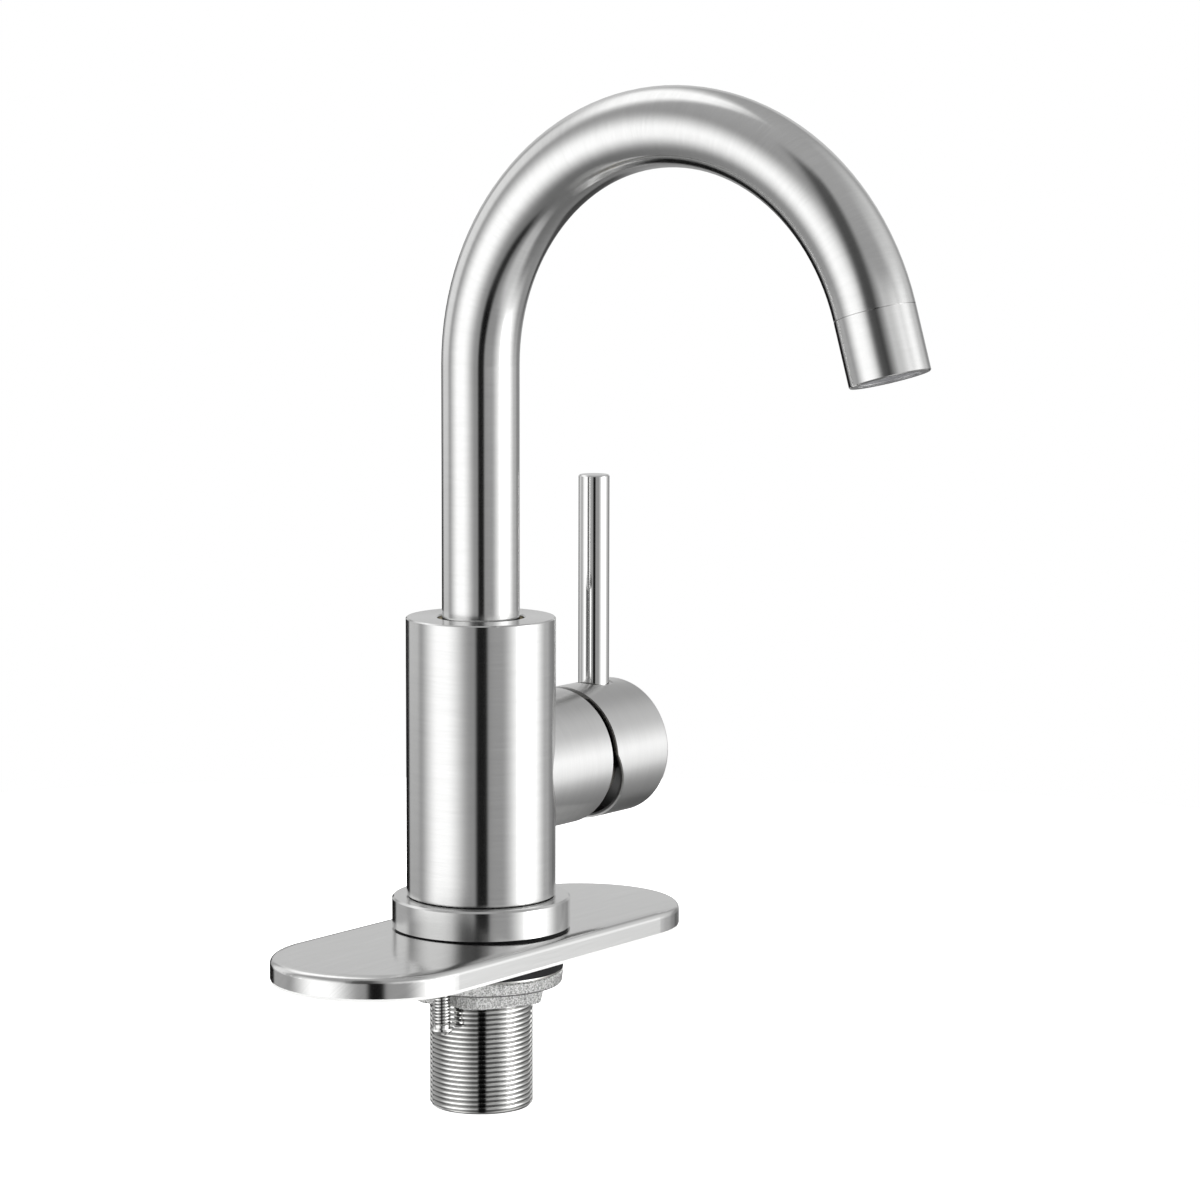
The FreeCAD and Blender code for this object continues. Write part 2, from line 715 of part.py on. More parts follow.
def spout_gland_ring():
    """The slotted ring that is screwed in over the bearing and keeps the spout down."""
    gland = ring(SWIVEL_BORE, TUBE_RADIUS + 2 * RUNNING_GAP, BEARING_TOP, GLAND_TOP)
    half_slot = GLAND_SLOT_WIDTH / 2
    slot = block(
        (0, -half_slot, GLAND_TOP - GLAND_SLOT_DEPTH),
        (SWIVEL_BORE, half_slot, GLAND_TOP),
    )
    for copy in around(slot, GLAND_SLOTS):
        gland = gland.cut(copy)
    return gland


def nozzle_part(profile):
    """A turned part on the tip's axis."""
    return turned(profile, NOZZLE_START, NOZZLE_DIRECTION)


def outlet_nipple():
    """The threaded nipple; its insert follows the bend where it is brazed in the tube."""
    threaded = nozzle_part(
        [
            (NIPPLE_BORE, 0),
            (SLEEVE_BORE, 0),
            (SLEEVE_BORE, NIPPLE_LENGTH),
            (NIPPLE_BORE, NIPPLE_LENGTH),
        ]
    )
    insert = ring(TUBE_RADIUS, NIPPLE_BORE, -NIPPLE_INSERT, 0, NOZZLE_START, NOZZLE_DIRECTION)
    insert = insert.common(bent_bar(TUBE_RADIUS - TUBE_WALL, SPIGOT_FLANGE_TOP))
    return threaded.fuse(insert)


def outlet_sleeve():
    """The screwed-on end of the spout, flush with the tube, with a lip for the aerator."""
    lip_start = TIP_LENGTH - SLEEVE_LIP
    return nozzle_part(
        [
            (SLEEVE_BORE, 0),
            (TUBE_RADIUS - JOINT_CHAMFER, 0),
            (TUBE_RADIUS, JOINT_CHAMFER),
            (TUBE_RADIUS, TIP_LENGTH - SLEEVE_CHAMFER),
            (TUBE_RADIUS - SLEEVE_CHAMFER, TIP_LENGTH),
            (SLEEVE_LIP_BORE, TIP_LENGTH),
            (SLEEVE_LIP_BORE, lip_start),
            (SLEEVE_BORE, lip_start),
        ]
    )


def aerator_seal():
    return ring(
        SLEEVE_BORE, NIPPLE_BORE, NIPPLE_LENGTH, AERATOR_START, NOZZLE_START, NOZZLE_DIRECTION
    )


def aerator_body():
    """The moulded insert: a crown that meets the seal and a skirt through the lip."""
    lip_start = TIP_LENGTH - SLEEVE_LIP
    mouth = TIP_LENGTH - AERATOR_SETBACK
    crown_end = AERATOR_START + AERATOR_CROWN
    return nozzle_part(
        [
            (NIPPLE_BORE - AERATOR_WALL, AERATOR_START),
            (SLEEVE_BORE, AERATOR_START),
            (SLEEVE_BORE, lip_start),
            (SLEEVE_LIP_BORE, lip_start),
            (SLEEVE_LIP_BORE, mouth),
            (AERATOR_BORE, mouth),
            (AERATOR_BORE, crown_end),
            (NIPPLE_BORE - AERATOR_WALL, crown_end),
        ]
    )


def aerator_screen():
    """A honeycomb disc: hexagonal cells in rings about the middle."""
    high = TIP_LENGTH - SCREEN_SETBACK
    low = high - SCREEN_THICKNESS
    disc = rod(AERATOR_BORE, low, high)
    cell = hexagon(SCREEN_CELL, low, high)
    row_height = SCREEN_PITCH * math.sqrt(3) / 2
    cells = []
    for row in range(-SCREEN_RINGS, SCREEN_RINGS + 1):
        in_row = 2 * SCREEN_RINGS + 1 - abs(row)
        for number in range(in_row):
            along = (number - (in_row - 1) / 2) * SCREEN_PITCH
            copy = cell.copy()
            copy.translate(Vector(row * row_height, along, 0))
            cells.append(copy)
    screen = disc.cut(Part.makeCompound(cells))
    screen.Placement = Placement(NOZZLE_START, Rotation(UP, NOZZLE_DIRECTION))
    return screen


# ---------------------------------------------------------------- cartridge


def on_branch(across, rise):
    """A point on the branch's end plane, measured from the branch's axis."""
    return BRANCH_START + ACROSS * across + UP * rise


def drill_ports(shape, start, end):
    """The hot, cold and mixed ports through one piece of the cartridge."""
    for across, rise, radius in PORTS:
        shape = shape.cut(rod(radius, start, end, on_branch(across, rise), SIDEWAYS))
    return shape


def cartridge_base():
    """The bottom of the cartridge, with a seat for each port seal."""
    base = rod(CARTRIDGE_RADIUS, CARTRIDGE_FLOOR, FIXED_DISC_START, BRANCH_START, SIDEWAYS)
    seal_end = CARTRIDGE_FLOOR + PORT_SEAL_THICKNESS
    for across, rise, _ in PORTS:
        centre = on_branch(across, rise)
        base = base.cut(rod(PORT_SEAL_RADIUS, CARTRIDGE_FLOOR, seal_end, centre, SIDEWAYS))
    return drill_ports(base, CARTRIDGE_FLOOR, FIXED_DISC_START)


def cartridge_port_seals():
    seal_end = CARTRIDGE_FLOOR + PORT_SEAL_THICKNESS
    seals = []
    for across, rise, _ in PORTS:
        centre = on_branch(across, rise)
        seal = ring(PORT_SEAL_RADIUS, PORT_SEAL_BORE, CARTRIDGE_FLOOR, seal_end, centre, SIDEWAYS)
        seals.append(seal)
    return Part.makeCompound(seals)


def cartridge_housing():
    """The moulded cup round the discs, with a neck that guides the rotor."""
    return turned(
        [
            (CARTRIDGE_CAVITY, FIXED_DISC_START),
            (CARTRIDGE_RADIUS, FIXED_DISC_START),
            (CARTRIDGE_RADIUS, CARTRIDGE_SHOULDER),
            (CARTRIDGE_NECK_RADIUS, CARTRIDGE_SHOULDER),
            (CARTRIDGE_NECK_RADIUS, CARTRIDGE_NECK_END),
            (ROTOR_HOLE, CARTRIDGE_NECK_END),
            (ROTOR_HOLE, CARTRIDGE_CEILING),
            (CARTRIDGE_CAVITY, CARTRIDGE_CEILING),
        ],
        BRANCH_START,
        SIDEWAYS,
    )


def cartridge_nut():
    """The threaded ring that holds the cartridge down, notched for a spanner."""
    nut = turned(
        [
            (CARTRIDGE_NUT_BORE, CARTRIDGE_SHOULDER),
            (CARTRIDGE_NUT_RADIUS, CARTRIDGE_SHOULDER),
            (CARTRIDGE_NUT_RADIUS, BRANCH_END),
            (CARTRIDGE_NUT_RIM_RADIUS, BRANCH_END),
            (CARTRIDGE_NUT_RIM_RADIUS, CARTRIDGE_NUT_END),
            (CARTRIDGE_NUT_BORE, CARTRIDGE_NUT_END),
        ],
        BRANCH_START,
        SIDEWAYS,
    )
    half_notch = CARTRIDGE_NUT_NOTCH_WIDTH / 2
    notch = block(
        (CARTRIDGE_NUT_END - CARTRIDGE_NUT_NOTCH_DEPTH, -half_notch, BRANCH_AXIS),
        (CARTRIDGE_NUT_END, half_notch, BRANCH_AXIS + CARTRIDGE_NUT_RADIUS),
    )
    for copy in around(notch, CARTRIDGE_NUT_NOTCHES, BRANCH_START, SIDEWAYS):
        nut = nut.cut(copy)
    return nut


def ceramic_disc_fixed():
    disc = rod(FIXED_DISC_RADIUS, FIXED_DISC_START, FIXED_DISC_END, BRANCH_START, SIDEWAYS)
    return drill_ports(disc, FIXED_DISC_START, FIXED_DISC_END)


def ceramic_disc_moving():
    """The upper disc, with the half-moon pocket that joins the ports when it slides."""
    face = FIXED_DISC_END + DISC_GAP
    disc = rod(MOVING_DISC_RADIUS, face, MOVING_DISC_END, BRANCH_START, SIDEWAYS)
    pocket = rod(MIX_POCKET_RADIUS, face, face + MIX_POCKET_DEPTH, BRANCH_START, SIDEWAYS)
    below_edge = block(
        (face, -REACH, BRANCH_AXIS - REACH),
        (face + MIX_POCKET_DEPTH, REACH, BRANCH_AXIS + MIX_POCKET_EDGE),
    )
    return disc.cut(pocket.common(below_edge))


def disc_carrier():
    """The slider over the moving disc, with a socket for the stem's ball."""
    carrier = rod(MOVING_DISC_RADIUS, MOVING_DISC_END, CARRIER_TOP, BRANCH_START, SIDEWAYS)
    socket_radius = STEM_BALL_RADIUS + STEM_BALL_GAP
    socket = rod(socket_radius, CARRIER_POCKET_FLOOR, CARRIER_TOP, BRANCH_START, SIDEWAYS)
    return carrier.cut(socket)


def cartridge_rotor():
    """The part that turns with the handle; the stem tilts in its slot on a pin."""
    rotor = turned(
        [
            (0, ROTOR_BOTTOM),
            (ROTOR_FLANGE_RADIUS, ROTOR_BOTTOM),
            (ROTOR_FLANGE_RADIUS, ROTOR_FLANGE_TOP),
            (ROTOR_RADIUS, ROTOR_FLANGE_TOP),
            (ROTOR_RADIUS, ROTOR_END),
            (0, ROTOR_END),
        ],
        BRANCH_START,
        SIDEWAYS,
    )
    slot = block(
        (ROTOR_BOTTOM, -ROTOR_SLOT_HALF_WIDTH, BRANCH_AXIS + ROTOR_SLOT_LOW),
        (ROTOR_END, ROTOR_SLOT_HALF_WIDTH, BRANCH_AXIS + ROTOR_SLOT_HIGH),
    )
    pivot = Vector(PIVOT, 0, BRANCH_AXIS)
    pin_hole = rod(PIVOT_PIN_RADIUS, -PIVOT_PIN_HALF_LENGTH, PIVOT_PIN_HALF_LENGTH, pivot, ACROSS)
    return rotor.cut(slot).cut(pin_hole)


def pivot_pin():
    pivot = Vector(PIVOT, 0, BRANCH_AXIS)
    return rod(PIVOT_PIN_RADIUS, -PIVOT_PIN_HALF_LENGTH, PIVOT_PIN_HALF_LENGTH, pivot, ACROSS)


def cartridge_stem():
    """The metal lever: a square stem, an eye for the pin, and a ball on an arm."""
    ball_centre = BRANCH_START + SIDEWAYS * (PIVOT - STEM_ARM)
    ball = Part.makeSphere(STEM_BALL_RADIUS, ball_centre)
    neck = rod(STEM_NECK_RADIUS, PIVOT - STEM_ARM, STEM_SHOULDER, BRANCH_START, SIDEWAYS)
    square = block(
        (STEM_SHOULDER, -STEM_HALF_WIDTH, BRANCH_AXIS - STEM_HALF_HEIGHT),
        (STEM_END, STEM_HALF_WIDTH, BRANCH_AXIS + STEM_HALF_HEIGHT),
    )
    pivot = Vector(PIVOT, 0, BRANCH_AXIS)
    eye = rod(PIVOT_PIN_RADIUS + RUNNING_GAP, -REACH, REACH, pivot, ACROSS)
    return square.multiFuse([neck, ball]).cut(eye)


# ---------------------------------------------------------------- handle


def relief_cut():
    """The curved bite out of the cap's lower rim, which lets the handle tilt."""
    top = Vector(RELIEF_TOP[0], -REACH, BRANCH_AXIS + RELIEF_TOP[1])
    middle = Vector(RELIEF_MIDDLE[0], -REACH, BRANCH_AXIS + RELIEF_MIDDLE[1])
    bottom = Vector(RELIEF_BOTTOM[0], -REACH, BRANCH_AXIS + RELIEF_BOTTOM[1])
    low_corner = Vector(BRANCH_END, -REACH, bottom.z)
    high_corner = Vector(BRANCH_END, -REACH, top.z)
    edges = [
        Part.Arc(top, middle, bottom).toShape(),
        Part.LineSegment(bottom, low_corner).toShape(),
        Part.LineSegment(low_corner, high_corner).toShape(),
        Part.LineSegment(high_corner, top).toShape(),
    ]
    return Part.Face(Part.Wire(edges)).extrude(ACROSS * (2 * REACH))


def cap_shell():
    """The thin round shell of the cap, closed at its outer end."""
    outside = rod(CAP_RADIUS, CAP_RIM, CAP_END, BRANCH_START, SIDEWAYS)
    end_edges = [edge for edge in outside.Edges if edge.BoundBox.XMin > CAP_END - RUNNING_GAP]
    outside = outside.makeFillet(CAP_EDGE_RADIUS, end_edges)
    inside = rod(
        CAP_RADIUS - CAP_WALL, CAP_RIM, CAP_END - CAP_END_WALL, BRANCH_START, SIDEWAYS
    )
    return outside.cut(inside)


def handle_cap():
    """The cap: shell, stem boss, rod column, spot face and relief cut."""
    rod_foot = Vector(ROD_POSITION, 0, BRANCH_AXIS)
    boss = rod(CAP_BOSS_RADIUS, CAP_BOSS_START, CAP_END - CAP_WALL, BRANCH_START, SIDEWAYS)
    column = rod(ROD_COLUMN_RADIUS, 0, ROD_SEAT, rod_foot)
    cap = cap_shell().multiFuse([boss, column])
    socket = block(
        (CAP_BOSS_START, -STEM_HALF_WIDTH, BRANCH_AXIS - STEM_HALF_HEIGHT),
        (STEM_END, STEM_HALF_WIDTH, BRANCH_AXIS + STEM_HALF_HEIGHT),
    )
    tail_hole = rod(ROD_TAIL_RADIUS, STEM_HALF_HEIGHT, REACH, rod_foot)
    spot_face = rod(ROD_SPOT_FACE, ROD_SEAT, REACH, rod_foot)
    for cut in (socket, tail_hole, spot_face, relief_cut()):
        cap = cap.cut(cut)
    return cap.removeSplitter()


def lever_rod():
    """The slim rod that is screwed into the cap."""
    rod_foot = Vector(ROD_POSITION, 0, BRANCH_AXIS)
    top = ROD_TOP - BRANCH_AXIS
    return turned(
        [
            (0, ROD_TAIL_END),
            (ROD_TAIL_RADIUS, ROD_TAIL_END),
            (ROD_TAIL_RADIUS, ROD_SEAT),
            (ROD_RADIUS, ROD_SEAT),
            (ROD_RADIUS, top - ROD_CHAMFER),
            (ROD_RADIUS - ROD_CHAMFER, top),
            (0, top),
        ],
        rod_foot,
    )


def handle_set_screw():
    """The socket screw under the rod that grips the stem."""
    rod_foot = Vector(ROD_POSITION, 0, BRANCH_AXIS)
    top = STEM_HALF_HEIGHT + SET_SCREW_LENGTH
    screw = rod(ROD_TAIL_RADIUS, STEM_HALF_HEIGHT, top)
    socket = hexagon(SET_SCREW_SOCKET, top - SET_SCREW_SOCKET_DEPTH, top)
    screw = screw.cut(socket)
    screw.translate(rod_foot)
    return screw


NODES = {
    "deck_plate": deck_plate,
    "deck_plate_underlay": deck_plate_underlay,
    "threaded_shank": threaded_shank,
    "rubber_washer": rubber_washer,
    "steel_washer": steel_washer,
    "mounting_nut": mounting_nut,
    "jam_screws": jam_screws,
    "base_seal": base_seal,
    "base_ring": base_ring,
    "body_gasket": body_gasket,
    "body_casting": body_casting,
    "spout_thrust_washer": spout_thrust_washer,
    "spout_bearing": spout_bearing,
    "spout_gland_ring": spout_gland_ring,
    "spout_tube": spout_tube,
    "spout_spigot": spout_spigot,
    "spigot_o_ring_lower": lambda: spigot_o_ring(O_RING_HEIGHTS[0]),
    "spigot_o_ring_upper": lambda: spigot_o_ring(O_RING_HEIGHTS[1]),
    "outlet_nipple": outlet_nipple,
    "outlet_sleeve": outlet_sleeve,
    "aerator_seal": aerator_seal,
    "aerator_body": aerator_body,
    "aerator_screen": aerator_screen,
    "cartridge_base": cartridge_base,
    "cartridge_port_seals": cartridge_port_seals,
    "cartridge_housing": cartridge_housing,
    "cartridge_nut": cartridge_nut,
    "ceramic_disc_fixed": ceramic_disc_fixed,
    "ceramic_disc_moving": ceramic_disc_moving,
    "disc_carrier": disc_carrier,
    "cartridge_rotor": cartridge_rotor,
    "pivot_pin": pivot_pin,
    "cartridge_stem": cartridge_stem,
    "handle_cap": handle_cap,
    "lever_rod": lever_rod,
    "handle_set_screw": handle_set_screw,
}


def main():
    os.makedirs("parts", exist_ok=True)
    for name, make in NODES.items():
        make().exportStep(f"parts/{name}.step")


main()
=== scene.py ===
import math
from collections import namedtuple

import bmesh
import bpy
from mathutils import Matrix, Vector


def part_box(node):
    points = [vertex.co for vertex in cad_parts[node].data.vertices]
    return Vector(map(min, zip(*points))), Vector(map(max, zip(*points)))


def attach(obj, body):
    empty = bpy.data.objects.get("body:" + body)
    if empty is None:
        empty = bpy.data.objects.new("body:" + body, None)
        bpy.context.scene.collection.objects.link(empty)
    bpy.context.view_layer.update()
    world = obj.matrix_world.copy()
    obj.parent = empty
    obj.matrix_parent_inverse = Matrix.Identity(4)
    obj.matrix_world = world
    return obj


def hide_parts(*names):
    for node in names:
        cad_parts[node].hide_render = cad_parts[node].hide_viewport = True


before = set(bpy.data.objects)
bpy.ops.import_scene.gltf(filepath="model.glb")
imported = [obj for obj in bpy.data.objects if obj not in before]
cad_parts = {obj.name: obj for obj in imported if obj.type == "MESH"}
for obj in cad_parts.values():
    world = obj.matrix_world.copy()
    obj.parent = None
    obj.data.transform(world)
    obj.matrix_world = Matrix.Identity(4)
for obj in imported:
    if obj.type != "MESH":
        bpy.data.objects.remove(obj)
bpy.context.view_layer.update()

# The brushed nickel gooseneck bar faucet in a white studio. Metres, in the frame's own axes:
# +Z up the shank, +X towards the lever, and the spout reaches towards -Y.

MM = 0.001

# ---------------------------------------------------------------- places and sizes


def node_radius(node, axis=2):
    """Half of a node's smaller width across an axis: a round node's radius."""
    low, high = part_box(node)
    widths = [high[i] - low[i] for i in range(3) if i != axis]
    return min(widths) / 2


def node_centre(node):
    low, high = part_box(node)
    return (low + high) / 2


BRANCH_HEIGHT = node_centre("cartridge_nut").z
BRANCH_AXIS_POINT = Vector((0, 0, BRANCH_HEIGHT))
GASKET_INSET = 1.2 * MM
BODY_RADIUS = node_radius("body_gasket") + GASKET_INSET
BODY_MARGIN = 0.1 * MM
SHANK_LOW, SHANK_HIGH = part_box("threaded_shank")
SHANK_RADIUS = node_radius("threaded_shank")
SCREW_LOW, SCREW_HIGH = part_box("jam_screws")
TUBE_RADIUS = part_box("spout_tube")[1].x
TUBE_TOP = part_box("spout_tube")[1].z
ROD_CENTRE = node_centre("lever_rod")
# The corner between the mounting nut's flange and its hexagon.
NUT_CORNER_HEIGHT = -9.3 * MM

# The cap's inside is darkened with painted shade: all of it but a thin lip, the closed end and the
# seat of the rod, whose height is measured from the branch's axis.
CAP_RADIUS = node_radius("handle_cap", 0)
CAP_LIP = 0.4 * MM
CAP_END_DEPTH = 3 * MM
CAP_END_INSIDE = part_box("handle_cap")[1].x - CAP_END_DEPTH
CAP_SEAT_HEIGHT = 18.2 * MM

BEND_RADIUS = 72.2 * MM
NECK_TOP = TUBE_TOP - BEND_RADIUS - TUBE_RADIUS
BEND_CENTRE = Vector((0, -BEND_RADIUS, NECK_TOP))
BEND_ANGLE = math.radians(163.7)
NOZZLE_DIRECTION = Vector((0, -math.sin(BEND_ANGLE), math.cos(BEND_ANGLE)))
NOZZLE_START = BEND_CENTRE + BEND_RADIUS * Vector((0, math.cos(BEND_ANGLE), math.sin(BEND_ANGLE)))

UP = Vector((0, 0, 1))
SIDEWAYS = Vector((1, 0, 0))

# ---------------------------------------------------------------- camera

CAMERA_AZIMUTH = math.radians(-53.5)
CAMERA_ELEVATION = math.radians(7.14)
CAMERA_ROLL = math.radians(0.14)
CAMERA_DISTANCE = 1218.07 * MM
CAMERA_TARGET_ACROSS = 36.46 * MM
CAMERA_TARGET_HEIGHT = 109.36 * MM
SENSOR_MM = 36.0
LENS_MM = 119.455
CLIP_NEAR = 10 * MM
CLIP_FAR = 20


def make_camera():
    """The camera at the photograph's viewing angle: back points from the faucet to the lens."""
    back = Vector(
        (
            math.sin(CAMERA_AZIMUTH) * math.cos(CAMERA_ELEVATION),
            -math.cos(CAMERA_AZIMUTH) * math.cos(CAMERA_ELEVATION),
            math.sin(CAMERA_ELEVATION),
        )
    )
    right = Vector((math.cos(CAMERA_AZIMUTH), math.sin(CAMERA_AZIMUTH), 0))
    turn = Matrix((right, back.cross(right), back)).transposed()
    target = right * CAMERA_TARGET_ACROSS + UP * CAMERA_TARGET_HEIGHT
    data = bpy.data.cameras.new("studio_camera")
    data.sensor_width = SENSOR_MM
    data.lens = LENS_MM
    data.clip_start = CLIP_NEAR
    data.clip_end = CLIP_FAR
    camera = bpy.data.objects.new("studio_camera", data)
    bpy.context.collection.objects.link(camera)
    camera.matrix_world = (
        Matrix.Translation(target + back * CAMERA_DISTANCE)
        @ turn.to_4x4()
        @ Matrix.Rotation(CAMERA_ROLL, 4, "Z")
    )
    bpy.context.scene.camera = camera


# ---------------------------------------------------------------- shader node helpers


# Blender's noise lies mostly between these two levels.
NOISE_LOW = 0.25
NOISE_HIGH = 0.75
# ShaderNodeMix has a pair of inputs for each kind of value, known by their places.
MIX_NUMBERS = (2, 3)
MIX_VECTORS = (4, 5)
MIX_NUMBER_OUT = 0
MIX_VECTOR_OUT = 1


class Graph:
    """Adds nodes to one tree. Numbers and vectors set a socket, and sockets are linked to it."""

    def __init__(self, tree):
        self.tree = tree
        tree.nodes.clear()

    def add(self, kind, inputs=None, **settings):
        node = self.tree.nodes.new(kind)
        for name, value in settings.items():
            setattr(node, name, value)
        for name, value in (inputs or {}).items():
            self.feed(node.inputs[name], value)
        return node

    def feed(self, socket, value):
        if isinstance(value, bpy.types.NodeSocket):
            self.tree.links.new(value, socket)
        else:
            socket.default_value = value

    def math(self, operation, *values):
        node = self.add("ShaderNodeMath", dict(enumerate(values)), operation=operation)
        return node.outputs[0]

    def vector(self, operation, *values):
        node = self.add("ShaderNodeVectorMath", operation=operation)
        for place, value in enumerate(values):
            self.feed(node.inputs[place], value)
        return node.outputs["Value" if operation in ("DOT_PRODUCT", "LENGTH") else "Vector"]

    def scaled(self, vector, factor):
        node = self.add("ShaderNodeVectorMath", {0: vector, "Scale": factor}, operation="SCALE")
        return node.outputs["Vector"]

    def span(self, value, low, high, to_low, to_high, smooth=False):
        """Carries low..high over to to_low..to_high, and holds the ends."""
        node = self.add(
            "ShaderNodeMapRange",
            {
                "Value": value,
                "From Min": low,
                "From Max": high,
                "To Min": to_low,
                "To Max": to_high,
            },
            interpolation_type="SMOOTHSTEP" if smooth else "LINEAR",
        )
        return node.outputs["Result"]

    def noise(self, vector, scale, detail=3.0, roughness=0.6, w=None):
        inputs = {"Vector": vector, "Scale": scale, "Detail": detail, "Roughness": roughness}
        if w is None:
            return self.add("ShaderNodeTexNoise", inputs).outputs["Fac"]
        inputs["W"] = w
        return self.add("ShaderNodeTexNoise", inputs, noise_dimensions="4D").outputs["Fac"]

    def shade(self, colour, noise, low, high):
        """A colour times low where the noise is low, up to times high where it is high."""
        return self.scaled(colour, self.span(noise, NOISE_LOW, NOISE_HIGH, low, high))

    def about(self, middle, noise, spread):
        """A number that strays from its middle by up to half the spread as the noise goes 0 to 1."""
        return self.math("MULTIPLY_ADD", noise, spread, middle - spread / 2)

    def bump(self, height, strength, distance):
        inputs = {"Strength": strength, "Distance": distance, "Height": height}
        return self.add("ShaderNodeBump", inputs).outputs["Normal"]

    def local(self):
        """The place and the normal in the piece's own axes."""
        coordinates = self.add("ShaderNodeTexCoord")
        return coordinates.outputs["Object"], coordinates.outputs["Normal"]

    def to_world(self, vector):
        node = self.add(
            "ShaderNodeVectorTransform",
            {"Vector": vector},
            vector_type="VECTOR",
            convert_from="OBJECT",
            convert_to="WORLD",
        )
        return node.outputs["Vector"]


def new_material(name):
    material = bpy.data.materials.new(name)
    material.use_nodes = True
    graph = Graph(material.node_tree)
    shader = graph.add("ShaderNodeBsdfPrincipled")
    graph.add("ShaderNodeOutputMaterial", {"Surface": shader.outputs["BSDF"]})
    return material, graph, shader


def set_shader(graph, shader, **inputs):
    """Sets the shader's sockets; underscores in a name stand for spaces."""
    for name, value in inputs.items():
        graph.feed(shader.inputs[name.replace("_", " ")], value)


# ---------------------------------------------------------------- metal finishes

NICKEL = (0.66, 0.66, 0.656)
STEEL = (0.695, 0.695, 0.69)

# A brushed finish: how deep its grooves are, and how much its lines differ in brightness.
Finish = namedtuple("Finish", "colour roughness anisotropy groove_depth streak")
COLUMN_FINISH = Finish(NICKEL, 0.16, 0.8, 0.15, 0.065)
BRANCH_ROUGHNESS = 0.3
RING_FINISH = Finish(NICKEL, 0.17, 0.8, 0.14, 0.05)
TUBE_FINISH = Finish(NICKEL, 0.15, 0.5, 0.04, 0.06)
SLEEVE_FINISH = Finish(NICKEL, 0.15, 0.5, 0.04, 0.05)
CAP_FINISH = Finish(NICKEL, 0.3, 0.8, 0.14, 0.05)
CAP_INSIDE_PAINTED_SHADE = 0.14
ROD_FINISH = Finish(STEEL, 0.08, 0.4, 0.06, 0.03)
PLATE_FINISH = Finish(STEEL, 0.15, 0.7, 0.18, 0.08)

# Lines and broader bands run along the grooves. A change says how soon they give way to others.
LINES_PER_METRE = 2600
LINE_CHANGE = 2.2
LINE_FINENESS = 0.7
LINE_SHARE = 0.6
BANDS_PER_METRE = 420
BAND_CHANGE = 0.9
BAND_FINENESS = 0.5
STRAIGHT_CHANGE = 25.0
SMEARS_PER_METRE = 38.0
SMEAR_ROUGHNESS = 0.05
LINE_ROUGHNESS = 0.04
GROOVE_HEIGHT = 0.02 * MM

# How a surface is brushed: a place round the piece, the way gone across the grooves, and the
# direction in which they run.
Brushing = namedtuple("Brushing", "around along groove")


def brushed_round(graph, axis, centre):
    """Grooves round an axis, on the wall as on the end faces."""
    place, _ = graph.local()
    offset = graph.vector("SUBTRACT", place, centre)
    height = graph.vector("DOT_PRODUCT", offset, axis)
    radial = graph.vector("SUBTRACT", offset, graph.scaled(tuple(axis), height))
    around = graph.vector("NORMALIZE", radial)
    along = graph.math("ADD", height, graph.vector("LENGTH", radial))
    groove = graph.vector("CROSS_PRODUCT", axis, around)
    return Brushing(around, along, groove)


def brushed_spout(graph):
    """Grooves round the spout's tube, up its neck and along its bend."""
    place, normal = graph.local()
    from_bend = graph.vector("SUBTRACT", place, BEND_CENTRE)
    axes = graph.add("ShaderNodeSeparateXYZ", {"Vector": from_bend})
    rise = graph.math("MAXIMUM", axes.outputs["Z"], 0.0)
    spoke = graph.add("ShaderNodeCombineXYZ", {"X": 0.0, "Y": axes.outputs["Y"], "Z": rise})
    travel = graph.vector("CROSS_PRODUCT", SIDEWAYS, spoke.outputs["Vector"])
    turn = graph.math("ARCTAN2", rise, axes.outputs["Y"])
    climb = graph.math("MINIMUM", axes.outputs["Z"], 0.0)
    along = graph.math("ADD", graph.math("MULTIPLY", turn, BEND_RADIUS), climb)
    groove = graph.vector("CROSS_PRODUCT", travel, normal)
    return Brushing(normal, along, groove)


def brushed_straight(graph, direction, across):
    """Straight grooves along one direction."""
    place, _ = graph.local()
    along = graph.vector("DOT_PRODUCT", place, across)
    travel = graph.vector("MULTIPLY", place, tuple(direction))
    return Brushing(graph.scaled(travel, STRAIGHT_CHANGE), along, tuple(direction))


def mixed(graph, share, first, second, kind, inputs, output):
    values = {"Factor": share, inputs[0]: first, inputs[1]: second}
    return graph.add("ShaderNodeMix", values, data_type=kind).outputs[output]


def chosen(graph, choice, first, second):
    """The first brushing where choice is 0 and the second where it is 1."""
    vectors = ("VECTOR", MIX_VECTORS, MIX_VECTOR_OUT)
    return Brushing(
        mixed(graph, choice, first.around, second.around, *vectors),
        mixed(graph, choice, first.along, second.along, "FLOAT", MIX_NUMBERS, MIX_NUMBER_OUT),
        mixed(graph, choice, first.groove, second.groove, *vectors),
    )


def brush_marks(graph, brushing, per_metre, change, fineness):
    """Noise that changes fast across the grooves and slowly along them."""
    around = graph.scaled(brushing.around, change)
    along = graph.math("MULTIPLY", brushing.along, per_metre)
    return graph.noise(around, scale=1.0, detail=2.0, roughness=fineness, w=along)


